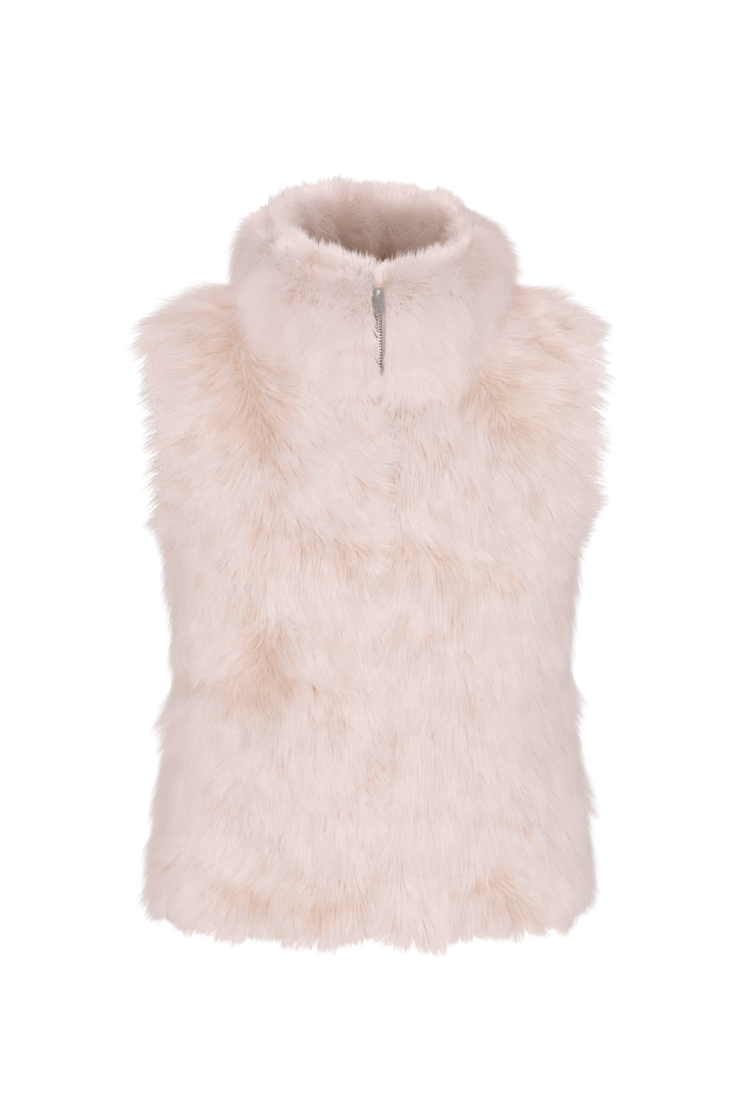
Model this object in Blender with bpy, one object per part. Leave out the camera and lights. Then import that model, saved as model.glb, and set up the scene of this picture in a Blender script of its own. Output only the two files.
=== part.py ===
"""Long-pile fur gilet, filled out as if worn: two fronts with a zip, a back, and a fur-faced stand collar.

Metres, +Z up. The front faces -Y, the wearer's left is +X, and the origin is at the neck, on the centre line.
Each cut piece is one wall: its inside is the backing cloth and its outside is the envelope of the fur.
"""

import math
from collections import defaultdict, namedtuple

import bmesh
import bpy
import numpy as np
from mathutils import Matrix, Vector

# Seams and fur
SEAM_GAP = 0.0003
SEAM_SHARE = 0.6
BODY_PILE = 0.023
COLLAR_PILE = 0.043
FACING_PILE = 0.027
CREASE_PILE = 0.003
CREASE_OPEN = 0.0014

# Height of the sections that the cut turns on
HEM_Z = -0.594
UNDERARM_Z = -0.226

# Neckline, an oval that drops at the front
NECK_HALF_WIDTH = 0.090
NECK_FRONT = 0.097
NECK_BACK = 0.062
NECK_SIDE_Z = -0.005
NECK_FRONT_DROP = 0.084
NECK_DROP_POWER = 1.2
NECK_BACK_RISE = 0.004

# Collar top, the edge where the collar meets its facing
COLLAR_TOP_HALF_WIDTH = 0.095
COLLAR_TOP_FRONT = 0.084
COLLAR_TOP_BACK = 0.068
COLLAR_TOP_SIDE_Z = 0.050
COLLAR_TOP_TILT = 0.038
COLLAR_TOP_SAG = 0.010
COLLAR_BOW = 0.008
FACING_EASE = 0.0006
FACING_FOOT_SHARE = 0.55
FACING_FULL_HEIGHT = 0.5
COLLAR_FULL_HEIGHT = 0.4
COLLAR_SWELLS = 5

# Grid of each cut piece
LOWER_ROWS = 16
CHEST_ROWS = 7
BACK_CHEST_ROWS = 10
NECK_STEPS = 8
COLLAR_ROWS = 6
PANEL_COLUMNS = 11
FRONT_NECK_SHARE = 0.45
BACK_NECK_SHARE = 0.68

# Zip
ZIP_EDGE = 0.0055
TAPE_INNER = 0.0032
TAPE_OUTER = 0.0175
TAPE_THICK = 0.0010
TAPE_GAP = 0.0006
TAPE_ROOM = 0.010
TAPE_ROOM_FADE = 0.008
ZIP_TOP_HEIGHT = 0.99
CHAIN_HALF_WIDTH = 0.0029
CHAIN_FRONT = 0.0009
CHAIN_BACK = 0.0019
CHAIN_LAST_STEP = 0.004
BOX_LENGTH = 0.014
BOX_EXTRA = 0.0006
HINGE_SHARE = 0.88
SLIDER_LENGTH = 0.0125
SLIDER_BELOW_HINGE = 0.0088
SLIDER_TOP_HALF_WIDTH = 0.0034
SLIDER_HINGE_HALF_WIDTH = 0.0042
SLIDER_FOOT_HALF_WIDTH = 0.0034
SLIDER_PLATE = 0.0013
SLIDER_GAP = 0.0006
POST_HALF_WIDTH = 0.0016
POST_LENGTH = 0.0030
CROWN_INNER = 0.00125
CROWN_OUTER = 0.00220
CROWN_HALF_WIDTH = 0.0010
CROWN_STEPS = 8
PULL_HALF_WIDTH = 0.0032
PULL_TOP_HALF_WIDTH = 0.0027
PULL_LENGTH = 0.0235
PULL_THICK = 0.0012
PULL_BAR = 0.0012
PULL_WINDOW_HALF_WIDTH = 0.0018
PULL_WINDOW_LENGTH = 0.0046
PULL_CORNER = 0.0016
POST_INSET = 0.0003

SideSection = namedtuple("SideSection", "z half_width")
SIDE_SECTIONS = [
    SideSection(HEM_Z, 0.196),
    SideSection(-0.500, 0.188),
    SideSection(-0.420, 0.178),
    SideSection(-0.348, 0.170),
    SideSection(-0.280, 0.176),
    SideSection(UNDERARM_Z, 0.184),
]

CentreSection = namedtuple("CentreSection", "z out")
CENTRE_FRONT = [
    CentreSection(HEM_Z, 0.117),
    CentreSection(-0.500, 0.115),
    CentreSection(-0.420, 0.110),
    CentreSection(-0.348, 0.106),
    CentreSection(-0.280, 0.112),
    CentreSection(UNDERARM_Z, 0.119),
    CentreSection(-0.180, 0.119),
    CentreSection(-0.130, 0.110),
    CentreSection(-0.089, 0.097),
]
CENTRE_BACK = [
    CentreSection(HEM_Z, 0.112),
    CentreSection(-0.500, 0.108),
    CentreSection(-0.420, 0.102),
    CentreSection(-0.348, 0.096),
    CentreSection(-0.280, 0.102),
    CentreSection(UNDERARM_Z, 0.109),
    CentreSection(-0.150, 0.113),
    CentreSection(-0.080, 0.105),
    CentreSection(-0.035, 0.085),
    CentreSection(0.000, 0.062),
]

# Armhole edge from underarm to shoulder point; turn is how far the section there swings round the body
ArmholePoint = namedtuple("ArmholePoint", "x y z turn")
UNDERARM = ArmholePoint(0.184, 0.000, UNDERARM_Z, 90)
SHOULDER = ArmholePoint(0.196, 0.000, -0.036, 15)
ARMHOLE_FRONT = [
    UNDERARM,
    ArmholePoint(0.182, -0.034, -0.217, 74),
    ArmholePoint(0.178, -0.059, -0.185, 60),
    ArmholePoint(0.177, -0.064, -0.140, 51),
    ArmholePoint(0.181, -0.055, -0.094, 44),
    ArmholePoint(0.190, -0.031, -0.055, 34),
    SHOULDER,
]
ARMHOLE_BACK = [
    UNDERARM,
    ArmholePoint(0.183, 0.032, -0.217, 74),
    ArmholePoint(0.180, 0.055, -0.185, 60),
    ArmholePoint(0.179, 0.061, -0.140, 51),
    ArmholePoint(0.183, 0.053, -0.094, 44),
    ArmholePoint(0.191, 0.031, -0.055, 34),
    SHOULDER,
]

# Partings and dents of the fur, each a soft trough along a line seen from the front or the back
Fold = namedtuple("Fold", "face x0 z0 x1 z1 half_width depth")
FOLDS = [
    Fold("front", 0.010, -0.226, 0.190, -0.220, 0.020, 0.007),
    Fold("front", -0.125, -0.232, -0.010, -0.220, 0.020, 0.007),
    Fold("front", -0.142, -0.030, -0.104, -0.128, 0.024, 0.008),
    Fold("front", 0.088, -0.088, 0.124, -0.126, 0.026, 0.008),
    Fold("front", 0.120, -0.020, 0.150, -0.060, 0.022, 0.006),
    Fold("front", -0.098, -0.300, -0.108, -0.380, 0.020, 0.006),
    Fold("front", -0.180, -0.352, -0.040, -0.358, 0.024, 0.005),
    Fold("front", -0.125, -0.548, -0.030, -0.552, 0.022, 0.006),
    Fold("front", 0.095, -0.545, 0.125, -0.575, 0.020, 0.005),
    Fold("back", -0.120, -0.215, 0.120, -0.225, 0.022, 0.006),
    Fold("back", 0.030, -0.370, 0.110, -0.385, 0.024, 0.005),
    Fold("back", -0.110, -0.505, -0.020, -0.515, 0.024, 0.006),
]

# Soft swells of the pile, worked out round the body and up it
LOCK_WIDTH = 0.085
LOCK_LENGTH = 0.105
LOCK_HEIGHT = 0.0022

# How the fur passes each free edge: its reach past the cloth, and the profile from the cloth to the outside
# as shares of the pile (up) and of the reach (out)
Edge = namedtuple("Edge", "reach profile")
EDGES = {
    "hem": Edge(0.020, ((0.10, 0.70), (0.50, 1.00), (0.90, 0.55))),
    "armhole": Edge(0.025, ((0.10, 0.70), (0.55, 1.00), (0.92, 0.55))),
    "zip": Edge(0.0046, ((0.30, 0.20), (0.62, 1.00), (0.88, 0.70))),
    "collar_zip": Edge(0.0, ((0.30, 0.00), (0.65, 0.00), (1.00, 0.00))),
    "collar_top": Edge(0.015, ((0.08, 0.70), (0.48, 1.00), (0.90, 0.60))),
    "plain": Edge(0.0, ((0.33, 0.00), (0.67, 0.00), (1.00, 0.00))),
}
ZIP_TAPER_WIDTH = 0.030
ZIP_EDGE_SHARE = 0.72
COLLAR_ZIP_SHARE = 0.26
CREASE_SAFETY = 0.5
SMALLEST_BEND = 0.001

FUR = ("fur", (0.83, 0.71, 0.68), 0.85, 0.0)
TAPE = ("zip_tape", (0.80, 0.71, 0.66), 0.80, 0.0)
METAL = ("zip_metal", (0.66, 0.64, 0.61), 0.30, 1.0)


def clear_scene():
    for item in list(bpy.data.objects):
        bpy.data.objects.remove(item)


def material(name, colour, roughness, metallic):
    made = bpy.data.materials.new(name)
    made.use_nodes = True
    shader = made.node_tree.nodes["Principled BSDF"]
    shader.inputs["Base Color"].default_value = (*colour, 1.0)
    shader.inputs["Roughness"].default_value = roughness
    shader.inputs["Metallic"].default_value = metallic
    return made


def add_object(name, points, faces, finish):
    mesh = bpy.data.meshes.new(name)
    mesh.from_pydata([tuple(p) for p in points], [], faces)
    mesh.shade_smooth()
    mesh.set_sharp_from_angle(angle=math.radians(40))
    mesh.materials.append(material(*finish))
    made = bpy.data.objects.new(name, mesh)
    bpy.context.scene.collection.objects.link(made)
    return made


def smooth_step(value):
    value = np.clip(value, 0.0, 1.0)
    return value * value * (3 - 2 * value)


def spline(knots, values, at):
    """Smooth curve through the values at the knots, read at one place."""
    knots = np.asarray(knots, float)
    values = np.asarray(values, float)
    slopes = np.gradient(values, knots, axis=0)
    i = int(np.clip(np.searchsorted(knots, at) - 1, 0, len(knots) - 2))
    step = knots[i + 1] - knots[i]
    s = (at - knots[i]) / step
    start = (1 + 2 * s) * (1 - s) ** 2 * values[i] + s * (1 - s) ** 2 * step * slopes[i]
    end = s**2 * (3 - 2 * s) * values[i + 1] + s**2 * (s - 1) * step * slopes[i + 1]
    return start + end


def column(table, name):
    return [getattr(row, name) for row in table]


def side_half_width(z):
    return spline(column(SIDE_SECTIONS, "z"), column(SIDE_SECTIONS, "half_width"), z)


def centre_out(table, z):
    return spline(column(table, "z"), column(table, "out"), z)


def armhole(table, share):
    """(point, turn) on an armhole edge, share 0 at the underarm and 1 at the shoulder."""
    across = np.array([1, -1, 1, 1])
    rows = np.array([table[1] * across, *table, table[-2] * across])
    steps = np.linalg.norm(np.diff(rows[:, :3], axis=0), axis=1)
    knots = (np.concatenate([[0.0], np.cumsum(steps)]) - steps[0]) / steps[1:-1].sum()
    found = spline(knots, rows, share)
    return found[:3], found[3]


def neckline(angle):
    """Point of the neckline, angle 0 at the centre front, 90 at the shoulder and 180 at the centre back."""
    across, ahead = math.sin(math.radians(angle)), math.cos(math.radians(angle))
    depth = NECK_FRONT if ahead > 0 else NECK_BACK
    rise = -NECK_FRONT_DROP * ahead**NECK_DROP_POWER if ahead > 0 else -NECK_BACK_RISE * ahead
    return np.array([NECK_HALF_WIDTH * across, -depth * ahead, NECK_SIDE_Z + rise])


def collar_top(angle):
    across, ahead = math.sin(math.radians(angle)), math.cos(math.radians(angle))
    depth = COLLAR_TOP_FRONT if ahead > 0 else COLLAR_TOP_BACK
    z = COLLAR_TOP_SIDE_Z - COLLAR_TOP_TILT * ahead - COLLAR_TOP_SAG * ahead**2
    return np.array([COLLAR_TOP_HALF_WIDTH * across, -depth * ahead, z])


def collar_point(angle, height):
    """Point of the collar cloth, height 0 at the neckline and 1 at the top edge."""
    base = neckline(angle)
    point = base + (collar_top(angle) - base) * height
    outward = np.array([math.sin(math.radians(angle)), -math.cos(math.radians(angle)), 0.0])
    return point + outward * COLLAR_BOW * 4 * height * (1 - height)


FIRST_ANGLE = math.degrees(math.asin(ZIP_EDGE / NECK_HALF_WIDTH))
TAPE_ANGLE = math.degrees(math.asin(TAPE_OUTER / NECK_HALF_WIDTH))
FRONT_ANGLES = [FIRST_ANGLE, *np.linspace(TAPE_ANGLE, 90.0, NECK_STEPS)]
BACK_ANGLES = list(np.linspace(180.0, 90.0, NECK_STEPS + 1))


def section_points(inner, outer, turn, shares):
    """Points of one section from its inner to its outer end, swinging round the body by the turn."""
    turn = math.radians(turn)
    points = []
    for share in shares:
        across = math.sin(turn * share) / math.sin(turn)
        bow = (math.cos(turn * share) - math.cos(turn)) / (1 - math.cos(turn))
        x = inner[0] + (outer[0] - inner[0]) * across
        y = outer[1] + (inner[1] - outer[1]) * bow
        z = inner[2] + (outer[2] - inner[2]) * across
        points.append(np.array([x, y, z]))
    return points


def panel_grid(centre, edge, side, edge_x, angles, chest_rows, neck_share, shares):
    """Rows of points of a half panel, hem to shoulder, from the centre or neckline to the side or armhole."""
    rows = []
    for z in np.linspace(HEM_Z, UNDERARM_Z, LOWER_ROWS + 1):
        inner = (edge_x, side * centre_out(centre, z), z)
        outer = (side_half_width(z), 0.0, z)
        rows.append(section_points(inner, outer, 90, shares))
    neck_start = neckline(angles[0])
    for share in np.linspace(0, 1, chest_rows + 1)[1:]:
        z = UNDERARM_Z + (neck_start[2] - UNDERARM_Z) * share
        inner = (edge_x, side * centre_out(centre, z), z) if share < 1 else neck_start
        outer, turn = armhole(edge, neck_share * share)
        rows.append(section_points(inner, outer, turn, shares))
    for i, angle in enumerate(angles[1:], start=1):
        share = neck_share + (1 - neck_share) * i / (len(angles) - 1)
        outer, turn = armhole(edge, share)
        rows.append(section_points(neckline(angle), outer, turn, shares))
    return rows


def mirrored(rows):
    return [[p * np.array([-1, 1, 1]) for p in row] for row in rows]


def fold_depth(point, face):
    """How far the partings and dents press the fur in at a point."""
    depth = 0.0
    for fold in FOLDS:
        if fold.face != face:
            continue
        start = np.array([fold.x0, fold.z0])
        along = np.array([fold.x1, fold.z1]) - start
        place = np.array([point[0], point[2]]) - start
        share = np.clip(place @ along / (along @ along), 0, 1)
        off = np.linalg.norm(place - share * along)
        depth += fold.depth * math.exp(-((off / fold.half_width) ** 2))
    return depth


def zip_taper(point, edge_share):
    """Share of the pile left beside the zip, where the fur is combed away from it."""
    off = (abs(point[0]) - ZIP_EDGE) / ZIP_TAPER_WIDTH
    return edge_share + (1 - edge_share) * smooth_step(off)


def body_pile(point, face):
    swell = math.cos(2 * math.pi * point[0] / LOCK_WIDTH) * math.cos(2 * math.pi * point[2] / LOCK_LENGTH)
    pile = BODY_PILE + LOCK_HEIGHT * swell - fold_depth(point, face)
    return pile * zip_taper(point, ZIP_EDGE_SHARE) if face == "front" else pile


def collar_pile(point, angle, height):
    pile = BODY_PILE + (COLLAR_PILE - BODY_PILE) * smooth_step(height / COLLAR_FULL_HEIGHT)
    swell = LOCK_HEIGHT * math.cos(math.radians(angle * COLLAR_SWELLS)) * height
    front = math.cos(math.radians(angle)) > 0
    return (pile + swell) * (zip_taper(point, COLLAR_ZIP_SHARE) if front else 1.0)


def facing_pile(point, angle, height):
    full = smooth_step(height / FACING_FULL_HEIGHT)
    pile = FACING_PILE * (FACING_FOOT_SHARE + (1 - FACING_FOOT_SHARE) * full)
    front = math.cos(math.radians(angle)) > 0
    return pile * (zip_taper(point, COLLAR_ZIP_SHARE) if front else 1.0)


class Shell:
    """Cut pieces that share the points of their seams, so that their walls meet on a mitre."""

    def __init__(self):
        self.points = []
        self.piles = []
        self.index = {}
        self.faces = defaultdict(list)
        self.marks = defaultdict(set)

    def vertex(self, point, pile):
        key = tuple(int(round(c * 1e5)) for c in point)
        if key not in self.index:
            self.index[key] = len(self.points)
            self.points.append(np.asarray(point, float))
            self.piles.append(pile)
        found = self.index[key]
        self.piles[found] = min(self.piles[found], pile)
        return found

    def grid(self, piece, rows, pile_of, flip=False):
        """Adds a piece's grid of faces and gives its vertex numbers, row by row."""
        ids = [[self.vertex(p, pile_of(r, c, p)) for c, p in enumerate(row)] for r, row in enumerate(rows)]
        for r in range(len(ids) - 1):
            for c in range(len(ids[0]) - 1):
                face = [ids[r][c], ids[r][c + 1], ids[r + 1][c + 1], ids[r + 1][c]]
                self.faces[piece].append(face[::-1] if flip else face)
        return ids

    def mark(self, name, ids):
        for i in ids:
            self.marks[i].add(name)

    def normals_of(self, pieces):
        total = np.zeros((len(self.points), 3))
        points = np.array(self.points)
        for piece in pieces:
            for a, b, c, d in self.faces[piece]:
                total[[a, b, c, d]] += np.cross(points[c] - points[a], points[d] - points[b])
        length = np.linalg.norm(total, axis=1, keepdims=True)
        return total / np.where(length > 0, length, 1.0)

    def soften_crease(self, seam, below, above):
        """Thins the fur beside a seam that folds inwards, so that the two sides don't run into each other."""
        lower, upper = self.normals_of(below), self.normals_of(above)
        points = np.array(self.points)
        bend = np.arccos(np.clip((lower[seam] * upper[seam]).sum(axis=1), -1, 1))
        for i, point in enumerate(points):
            away = np.linalg.norm(points[seam] - point, axis=1)
            nearest = int(away.argmin())
            half = max(bend[nearest] / 2, SMALLEST_BEND)
            on_seam = away[nearest] == 0
            room = CREASE_PILE / math.sin(half) if on_seam else CREASE_SAFETY * away[nearest] / math.tan(half)
            self.piles[i] = min(self.piles[i], room)

    def boundary(self, piece):
        """Directed edges round a piece."""
        edges = set()
        for face in self.faces[piece]:
            edges |= set(zip(face, face[1:] + face[:1]))
        return [(i, j) for i, j in edges if (j, i) not in edges]

    def edge_kinds(self):
        """{piece: {edge: the name of its free edge, or None on a seam}}."""
        owners = defaultdict(set)
        rims = {piece: self.boundary(piece) for piece in self.faces}
        for piece, rim in rims.items():
            for i, j in rim:
                owners[frozenset((i, j))].add(piece)
        kinds = {}
        for piece, rim in rims.items():
            kinds[piece] = {
                (i, j): None if len(owners[frozenset((i, j))]) > 1 else min(self.marks[i] & self.marks[j])
                for i, j in rim
            }
        return kinds

    def build(self, finishes):
        """Makes each piece a closed wall from its cloth to the outside of its fur."""
        points, piles = np.array(self.points), np.array(self.piles)
        normals = self.normals_of(self.faces)
        kinds = self.edge_kinds()
        outs = defaultdict(lambda: defaultdict(list))
        for rim in kinds.values():
            for (i, j), kind in rim.items():
                if kind is not None:
                    for k in (i, j):
                        outs[k][kind].append(self.edge_out(points, normals, i, j))
        reach = np.zeros_like(points)
        for k, found in outs.items():
            reach[k] = sum(np.mean(out, axis=0) * EDGES[kind].reach for kind, out in found.items())
        for piece, rim in kinds.items():
            levels = self.piece_levels(points, piles, normals, reach, outs, rim)
            self.add_piece(piece, levels, rim, finishes[piece])

    @staticmethod
    def edge_out(points, normals, i, j):
        out = np.cross(points[j] - points[i], normals[i] + normals[j])
        return out / np.linalg.norm(out)

    def piece_levels(self, points, piles, normals, reach, outs, rim):
        """Each vertex's places from the cloth outwards, moved back from the seams by half the gap."""
        shift = np.zeros_like(points)
        for (i, j), kind in rim.items():
            if kind is None:
                for k in (i, j):
                    shift[k] -= self.edge_out(points, normals, i, j)
        length = np.linalg.norm(shift, axis=1, keepdims=True)
        shift /= np.where(length > 0, length, 1.0)
        crease = np.array([[CREASE_OPEN if "neck" in self.marks[k] else 0.0] for k in range(len(points))])
        profile = np.tile(np.array(EDGES["plain"].profile), (len(points), 1, 1))
        for k, kinds in outs.items():
            profile[k] = np.mean([EDGES[kind].profile for kind in kinds], axis=0)
        base = points + shift * SEAM_GAP * SEAM_SHARE
        lift = normals * piles[:, None] + shift * crease
        return [base] + [base + lift * profile[:, a, :1] + reach * profile[:, a, 1:] for a in range(3)]

    def add_piece(self, piece, levels, rim, finish):
        faces = self.faces[piece]
        used = sorted({i for face in faces for i in face})
        rim_points = sorted({i for edge in rim for i in edge})
        place, out = {}, []
        for level, members in enumerate([used, rim_points, rim_points, used]):
            for i in members:
                place[level, i] = len(out)
                out.append(levels[level][i])
        solid = [[place[3, i] for i in face] for face in faces]
        solid += [[place[0, i] for i in reversed(face)] for face in faces]
        for i, j in rim:
            for a in range(3):
                low_i, low_j = place[a, i], place[a, j]
                top_i, top_j = place[a + 1, i], place[a + 1, j]
                if i < j:
                    solid += [[top_j, top_i, low_i], [top_j, low_i, low_j]]
                else:
                    solid += [[top_j, top_i, low_j], [top_i, low_i, low_j]]
        add_object(piece, out, solid, finish)


def panel_shares():
    first = math.asin((TAPE_OUTER - ZIP_EDGE) / (side_half_width(UNDERARM_Z) - ZIP_EDGE)) * 2 / math.pi
    return [0.0, *np.linspace(first, 1.0, PANEL_COLUMNS)]


def build_body(shell):
    """The two fronts and the back. Returns the front's rows, whose first columns carry the zip."""
    shares = panel_shares()
    front = panel_grid(
        CENTRE_FRONT, ARMHOLE_FRONT, -1, ZIP_EDGE, FRONT_ANGLES, CHEST_ROWS, FRONT_NECK_SHARE, shares
    )
    back = panel_grid(
        CENTRE_BACK, ARMHOLE_BACK, 1, 0.0, BACK_ANGLES, BACK_CHEST_ROWS, BACK_NECK_SHARE, shares
    )
    halves = [
        ("front_left", front, "front", False),
        ("front_right", mirrored(front), "front", True),
        ("back", back, "back", True),
        ("back", mirrored(back), "back", False),
    ]
    for piece, rows, face, flip in halves:
        ids = shell.grid(piece, rows, lambda r, c, p, face=face: body_pile(p, face), flip)
        shell.mark("hem", ids[0])
        shell.mark("armhole", [row[-1] for row in ids[LOWER_ROWS:]])
        if face == "front":
            shell.mark("zip", [row[0] for row in ids[: LOWER_ROWS + CHEST_ROWS + 1]])
    return front


def collar_angles():
    right = [*FRONT_ANGLES, *BACK_ANGLES[-2::-1]]
    return right + [360 - a for a in right[-2::-1]]


def build_collar(shell):
    angles = collar_angles()
    heights = np.linspace(0, 1, COLLAR_ROWS + 1)
    rows = [[collar_point(a, h) for a in angles] for h in heights]
    ids = shell.grid("collar", rows, lambda r, c, p: collar_pile(p, angles[c], heights[r]))
    shell.mark("collar_top", ids[-1])
    shell.mark("neck", ids[0])
    for row in ids:
        shell.mark("collar_zip", [row[0], row[-1]])
    return ids[0]


def facing_offset(point, height):
    """Gap from the collar cloth to its facing, wider where the zip tape lies between them."""
    beside = smooth_step((TAPE_OUTER + TAPE_ROOM - abs(point[0])) / TAPE_ROOM_FADE) if point[1] < 0 else 0.0
    ease = FACING_EASE if height < 1 else 0.0
    return SEAM_GAP + ease + (TAPE_GAP + TAPE_THICK) * beside


def build_facing(shell):
    """The fur inside the collar, made from the collar's own points moved in."""
    angles = collar_angles()
    heights = np.linspace(0, 1, COLLAR_ROWS + 1)
    rows = []
    for h in heights:
        row = []
        for a in angles:
            point = collar_point(a, h)
            ahead = collar_point(a + 1, h) - collar_point(a - 1, h)
            up = collar_point(a, h + 0.02) - collar_point(a, h - 0.02)
            outward = np.cross(ahead, up)
            row.append(point - outward / np.linalg.norm(outward) * facing_offset(point, h))
        rows.append(row)
    ids = shell.grid("collar_facing", rows, lambda r, c, p: facing_pile(p, angles[c], heights[r]), True)
    shell.mark("collar_top", ids[-1])
    shell.mark("plain", ids[0])
    for row in ids:
        shell.mark("collar_zip", [row[0], row[-1]])


def zip_line(front):
    """Points of a front's zip edge and, at the same heights, of the tape's outer edge, hem to collar top."""
    rows = [(row[0], row[1]) for row in front[: LOWER_ROWS + CHEST_ROWS]]
    for h in np.linspace(0, ZIP_TOP_HEIGHT, COLLAR_ROWS + 1):
        rows.append((collar_point(FIRST_ANGLE, h), collar_point(TAPE_ANGLE, h)))
    return rows


def outward_of(rows):
    """Unit directions straight out of the front, square to the zip at each of its rows."""
    line = np.array([inner[1:] for inner, _ in rows])
    along = np.gradient(line, axis=0)
    outward = np.stack([np.zeros(len(line)), -along[:, 1], along[:, 0]], axis=1)
    return outward / np.linalg.norm(outward, axis=1, keepdims=True)


def tube_of_corners(name, corners, finish):
    """A closed bar from rows of corners, one ring of corners for each section."""
    count = len(corners[0])
    points = [p for ring in corners for p in ring]
    faces = [list(range(count))[::-1], [len(points) - count + k for k in range(count)]]
    for r in range(len(corners) - 1):
        for k in range(count):
            a, b = r * count + k, r * count + (k + 1) % count
            faces.append([a, b, b + count, a + count])
    return add_object(name, points, faces, finish)


def build_tapes(rows, outward):
    for name, side in (("zip_tape_left", 1), ("zip_tape_right", -1)):
        corners = []
        for (inner, outer), out in zip(rows, outward):
            edge = np.array([TAPE_INNER, *inner[1:]])
            ring = []
            for point, depth in (
                (edge, TAPE_GAP),
                (outer, TAPE_GAP),
                (outer, TAPE_GAP + TAPE_THICK),
                (edge, TAPE_GAP + TAPE_THICK),
            ):
                ring.append((point - out * depth) * np.array([side, 1, 1]))
            corners.append(ring if side > 0 else ring[::-1])
        tube_of_corners(name, corners, TAPE)


def bar_ring(centre, out, half_width, front, back):
    right = np.array([half_width, 0.0, 0.0])
    return [centre - right + out * front, centre + right + out * front,
            centre + right - out * back, centre - right - out * back]


def zip_place(share):
    """Centre-line point, direction up and direction out of the zip at a share of the collar's height."""
    low, high = collar_point(FIRST_ANGLE, share - 0.05), collar_point(FIRST_ANGLE, share + 0.05)
    up = (high - low) * np.array([0, 1, 1])
    up /= np.linalg.norm(up)
    centre = collar_point(FIRST_ANGLE, share) * np.array([0, 1, 1])
    return centre, up, np.array([0.0, -up[2], up[1]])


def build_chain(rows, outward, top):
    """The closed teeth, as one bar from the box at the hem to the post of the slider."""
    flat = np.array([0, 1, 1])
    start = rows[0][0] * flat
    along = (rows[1][0] - rows[0][0]) * flat
    along /= np.linalg.norm(along)
    box_top = start + along * BOX_LENGTH
    centre, up, out = top
    sections = [(box_top + along * SEAM_GAP, outward[0])]
    sections += [(inner * flat, o) for (inner, _), o in zip(rows[1:], outward[1:])]
    sections = [(p, o) for p, o in sections if (centre - p) @ up > CHAIN_LAST_STEP]
    sections.append((centre, out))
    rings = [bar_ring(p, o, CHAIN_HALF_WIDTH, CHAIN_FRONT, CHAIN_BACK) for p, o in sections]
    tube_of_corners("zip_chain", rings, METAL)
    box = [
        bar_ring(p, outward[0], CHAIN_HALF_WIDTH, CHAIN_FRONT + BOX_EXTRA, CHAIN_BACK + BOX_EXTRA)
        for p in (start, box_top)
    ]
    tube_of_corners("zip_box", box, METAL)


def placed(local_points, origin, up, out):
    """Points given as (across, out, up) from the hinge, in the part's frame."""
    return [origin + np.array([x, 0, 0]) + out * o + up * u for x, o, u in local_points]


def union(target, others):
    for other in others:
        join = target.modifiers.new("join", "BOOLEAN")
        join.operation = "UNION"
        join.object = other
        other.hide_render = True
        other.display_type = "WIRE"


def slider_plate(name, hinge, up, out, front, back):
    """One plate of the slider, widest at the hinge."""
    outline = (
        (-SLIDER_BELOW_HINGE, SLIDER_FOOT_HALF_WIDTH),
        (0.0, SLIDER_HINGE_HALF_WIDTH),
        (SLIDER_LENGTH - SLIDER_BELOW_HINGE, SLIDER_TOP_HALF_WIDTH),
    )
    rings = []
    for u, half in outline:
        ring = [(-half, front, u), (half, front, u), (half, back, u), (-half, back, u)]
        rings.append(placed(ring, hinge, up, out))
    return tube_of_corners(name, rings, METAL)


def slider_levels():
    """How far the slider's faces and its post lie from the hinge axis, out of the front being positive."""
    face = -CROWN_INNER
    chain_front = face - SLIDER_PLATE - SLIDER_GAP
    chain_back = chain_front - CHAIN_FRONT - CHAIN_BACK
    return face, chain_front, chain_back


def build_slider(hinge, up, out):
    """Two plates joined by a post, with an arch on the front that holds the pull's bar."""
    face, chain_front, chain_back = slider_levels()
    front = slider_plate("zip_slider", hinge, up, out, face, face - SLIDER_PLATE)
    rear_face = chain_back - SLIDER_GAP
    rear = slider_plate("slider_rear_plate", hinge, up, out, rear_face, rear_face - SLIDER_PLATE)
    top = SLIDER_LENGTH - SLIDER_BELOW_HINGE - POST_INSET
    bite = SLIDER_PLATE / 2
    post = [
        placed(
            [(-POST_HALF_WIDTH, face - bite, u), (POST_HALF_WIDTH, face - bite, u),
             (POST_HALF_WIDTH, rear_face - bite, u), (-POST_HALF_WIDTH, rear_face - bite, u)],
            hinge, up, out,
        )
        for u in (top - POST_LENGTH, top)
    ]
    post = tube_of_corners("slider_post", post, METAL)
    arch = []
    for step in range(CROWN_STEPS + 1):
        angle = math.pi * step / CROWN_STEPS
        ring = []
        for radius, x in (
            (CROWN_INNER, CROWN_HALF_WIDTH), (CROWN_INNER, -CROWN_HALF_WIDTH),
            (CROWN_OUTER, -CROWN_HALF_WIDTH), (CROWN_OUTER, CROWN_HALF_WIDTH),
        ):
            ring.append((x, radius * math.sin(angle), -radius * math.cos(angle)))
        arch.append(placed(ring, hinge, up, out))
    foot = face - bite
    feet = []
    for side in (-1, 1):
        ring = [(CROWN_HALF_WIDTH, foot, side * CROWN_INNER), (-CROWN_HALF_WIDTH, foot, side * CROWN_INNER),
                (-CROWN_HALF_WIDTH, foot, side * CROWN_OUTER), (CROWN_HALF_WIDTH, foot, side * CROWN_OUTER)]
        feet.append(placed(ring, hinge, up, out))
    arch = tube_of_corners("slider_arch", [feet[0], *arch, feet[1]], METAL)
    union(front, [rear, post, arch])


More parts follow.
